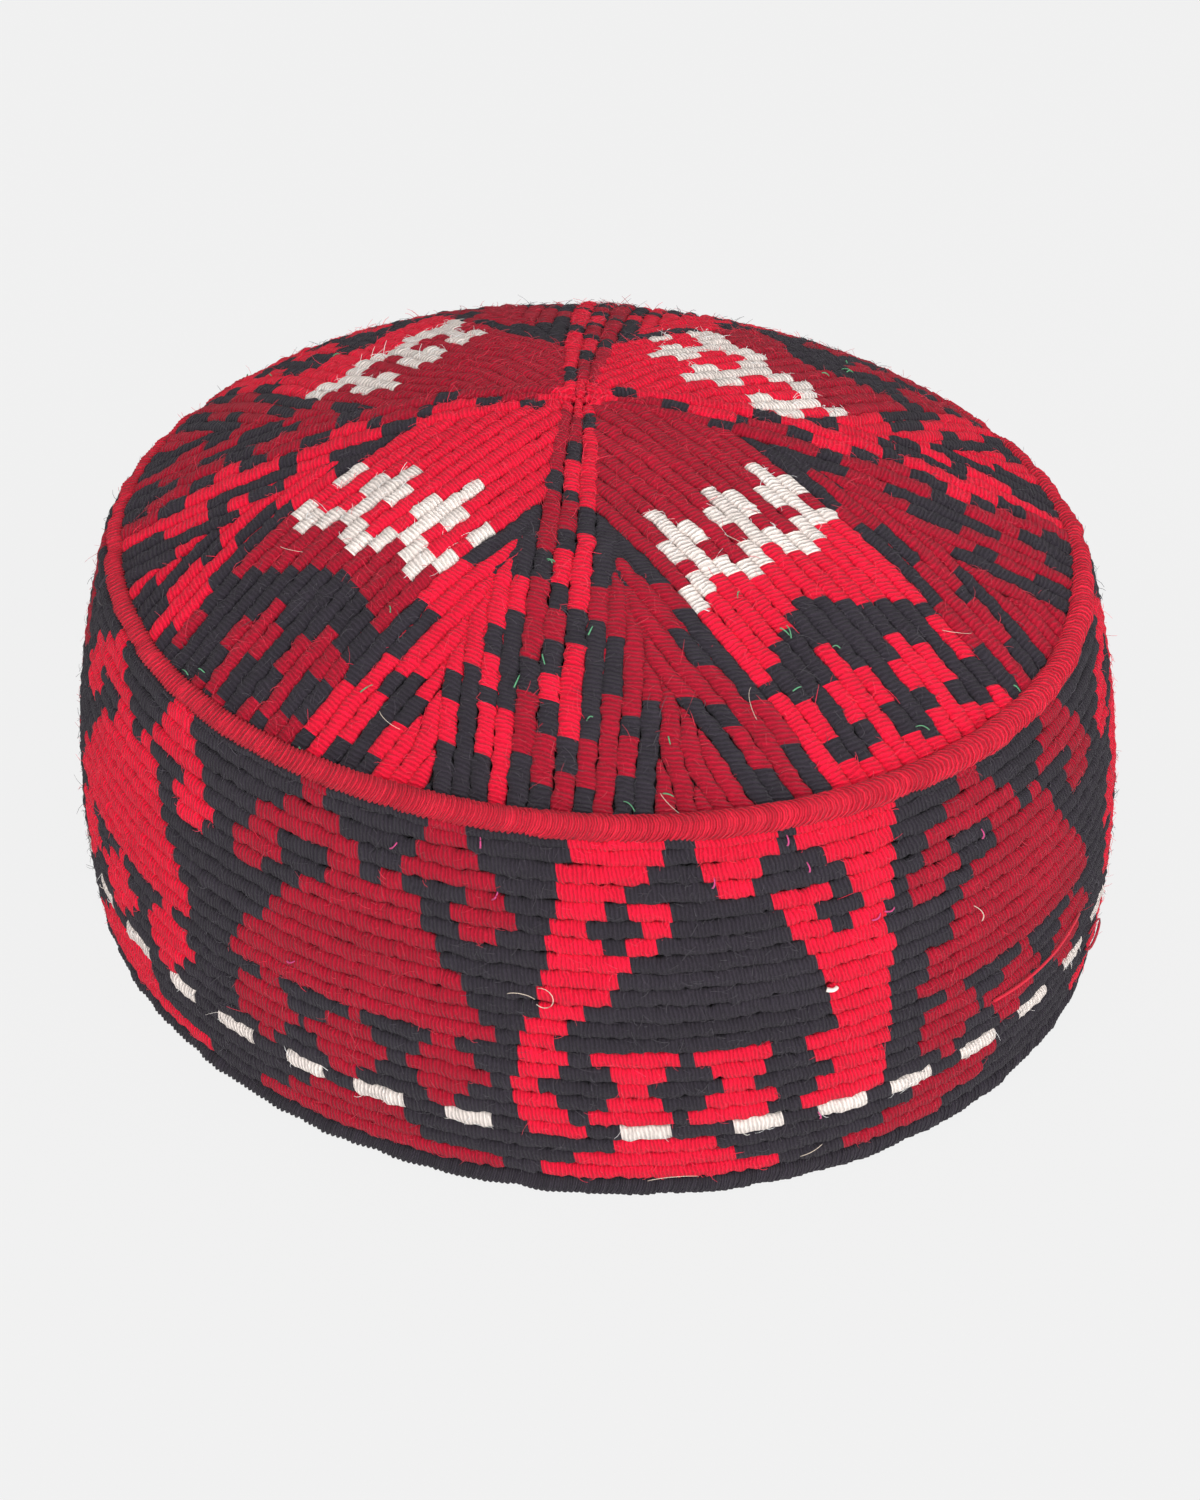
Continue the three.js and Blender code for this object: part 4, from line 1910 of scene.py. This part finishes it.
@dataclass
class LooseThreads:
    """The thread ends and hairs that stand off the embroidery (mm)."""

    points: int = 12
    base: float = 0.15
    arch_start: float = 0.12  # share of a half wave that the arch leaves out at each end
    over_crown: float = 0.6
    over_side: float = 0.35
    furthest_out: float = 84.0
    lowest: float = 0.6
    thin_end: float = 0.7

    def path(self, stray: Stray) -> np.ndarray:
        """Points along one thread, bent by its curl and arched off the surface.

        Args:
            stray: The thread.

        Returns:
            Its points, one a row.
        """
        share = np.linspace(0.0, 1.0, self.points)
        way = math.radians(stray.heading) + stray.curl * share
        step = stray.length / (self.points - 1)
        ahead = np.cumsum(np.cos(way)) * step
        across = np.cumsum(np.sin(way)) * step
        wave = self.arch_start + (1.0 - 2.0 * self.arch_start) * share
        lift = self.base + stray.lift * np.sin(math.pi * wave)
        turn = FRONT + math.radians(stray.turn)
        if stray.on_crown:
            out = stray.reach + ahead
            aside = across - stray.aside
            radius = np.minimum(np.hypot(out, aside), self.furthest_out)
            return FORM.crown(radius, turn + np.arctan2(aside, out), lift + self.over_crown)
        height = np.maximum(stray.reach + across, self.lowest)
        radius = float(FORM.side_radius(stray.reach))
        return FORM.side(height, turn + ahead / radius, lift + self.over_side)

    def build(self, name: str, slot: str, strays: Sequence[Stray], fibre: bpy.types.Material) -> None:
        """Make one piece of many threads.

        Args:
            name: Name of the piece.
            slot: Name of a material slot; not used.
            strays: The threads.
            fibre: Their finish.
        """
        bag = MeshBag()
        maker = FibreMaker()
        for stray in strays:
            line = self.path(stray)[None]
            radii = stray.radius * np.linspace(1.0, self.thin_end, self.points)[None]
            colour = np.array(YARN_COLOURS[stray.yarn])[None]
            maker.tubes(bag, line, radii, colour)
        hand_over(bag.build(name, fibre))


@dataclass(frozen=True)
class Lamp:
    """A soft square light that looks at the cap (metres and watts)."""

    name: str
    place: tuple[float, float, float]
    size: float
    power: float
    target: tuple[float, float, float] = (0.0, 0.0, 0.05)

    def hang(self) -> None:
        """Add the light."""
        bpy.ops.object.light_add(type="AREA", location=self.place)
        light = bpy.context.object
        light.name = self.name
        light.data.size = self.size
        light.data.energy = self.power
        aim = Vector(self.target) - Vector(self.place)
        light.rotation_euler = aim.to_track_quat("-Z", "Y").to_euler()


@dataclass
class Studio:
    """Floor, lights and camera (metres)."""

    eye: tuple[float, float, float] = (0.0, -0.4406, 0.3852)
    target: tuple[float, float, float] = (0.0, 0.0, 0.0379)
    roll: float = math.radians(0.26)
    lens: float = 69.74
    sensor: float = 36.0
    shift_right: float = 0.0039
    shift_up: float = -0.033
    nearest: float = 0.01
    floor_size: float = 40.0
    world_grey: float = 0.93
    world_strength: float = 0.50
    lamps: tuple[Lamp, ...] = (
        Lamp("key_light", (-0.75, -0.95, 1.2), 0.9, 13.0),
        Lamp("fill_light", (1.05, -0.65, 0.8), 1.0, 12.0),
        Lamp("front_light", (0.1, -1.4, 0.5), 1.2, 15.0),
        Lamp("top_light", (0.1, 0.35, 1.5), 1.1, 3.0),
    )

    def build(self) -> None:
        """Make the floor, the lights and the camera."""
        self.floor()
        self.surroundings()
        for lamp in self.lamps:
            lamp.hang()
        self.camera()
        bpy.context.scene.view_settings.view_transform = "Standard"

    def floor(self) -> None:
        """Lay the pale floor under the cap."""
        deselect_all()
        bpy.ops.mesh.primitive_plane_add(size=self.floor_size, location=(0.0, 0.0, 0.0))
        floor = bpy.context.object
        floor.name = "studio_floor"
        floor.data.materials.append(FloorFinish().make())

    def surroundings(self) -> None:
        """Set the even grey light from all round."""
        grey = self.world_grey
        world = bpy.context.scene.world or bpy.data.worlds.new("studio")
        bpy.context.scene.world = world
        world.use_nodes = True
        ground = world.node_tree.nodes["Background"]
        ground.inputs["Color"].default_value = (grey, grey, grey, 1.0)
        ground.inputs["Strength"].default_value = self.world_strength

    def camera(self) -> None:
        """Add the camera at the photograph's angle."""
        bpy.ops.object.camera_add(location=self.eye)
        camera = bpy.context.object
        camera.name = "studio_camera"
        aim = Vector(self.target) - Vector(self.eye)
        turned = aim.to_track_quat("-Z", "Y").to_matrix() @ Matrix.Rotation(self.roll, 3, "Z")
        camera.rotation_euler = turned.to_euler()
        camera.data.lens = self.lens
        camera.data.sensor_width = self.sensor
        camera.data.shift_x = self.shift_right
        camera.data.shift_y = self.shift_up
        camera.data.clip_start = self.nearest
        bpy.context.scene.camera = camera


def seam_cord() -> OvercastCord:
    """The red cord on the seam, thinner towards the back."""
    return OvercastCord(
        name="seam_overcast",
        slot="seam_yarn",
        node="seam_cord",
        yarn=Yarn.SEAM_RED,
        centre_radius=85.9,
        centre_height=76.1,
        half_width=2.35,
        half_height=2.25,
        stitch=0.92,
        slant=1.4,
        ridge=0.1,
        wobble=0.22,
        girths=(
            (-180, 0.8), (-120, 0.76), (-70, 0.76), (-45, 0.9), (-20, 1.0),
            (50, 1.0), (90, 0.86), (130, 0.8), (180, 0.8),
        ),
        seed=SEAM_SEED,
    )


def hem_edge() -> OvercastCord:
    """The black overcast edge that the cap stands on."""
    return OvercastCord(
        name="hem_overcast",
        slot="hem_yarn",
        node="hem_binding",
        yarn=Yarn.BLACK,
        centre_radius=94.0,
        centre_height=2.05,
        half_width=2.1,
        half_height=2.0,
        stitch=1.05,
        slant=0.7,
        on_table=True,
        ridge=0.09,
        squareness=0.7,
        seed=HEM_SEED,
    )


def main() -> None:
    """Build the studio, the finishes and the cap's pieces in order."""
    logging.basicConfig(level=logging.INFO, format="%(message)s")
    Studio().build()
    wool = WoolFinish("embroidery_wool").make()
    # The seam wool's uneven share also takes in the painted shade between its turns
    edge_wool = WoolFinish("seam_wool", wrap_pitch=0.46, bump_distance=0.00042, uneven=0.75).make()
    cloth = ClothFinish("backing_cloth", (0.030, 0.022, 0.024, 1.0)).make()
    fibre = FibreFinish().make()
    side = SideBand()
    crown = Crown()
    side.build(wool, cloth, fibre)
    crown.build(wool, cloth, fibre)
    threads = LooseThreads()
    threads.build("crown_thread_ends", crown.slot, crown_bits(), fibre)
    threads.build("side_thread_ends", side.slot, side_bits(), fibre)
    seam_cord().build(edge_wool)
    hem_edge().build(edge_wool)


if __name__ == "__main__":
    main()
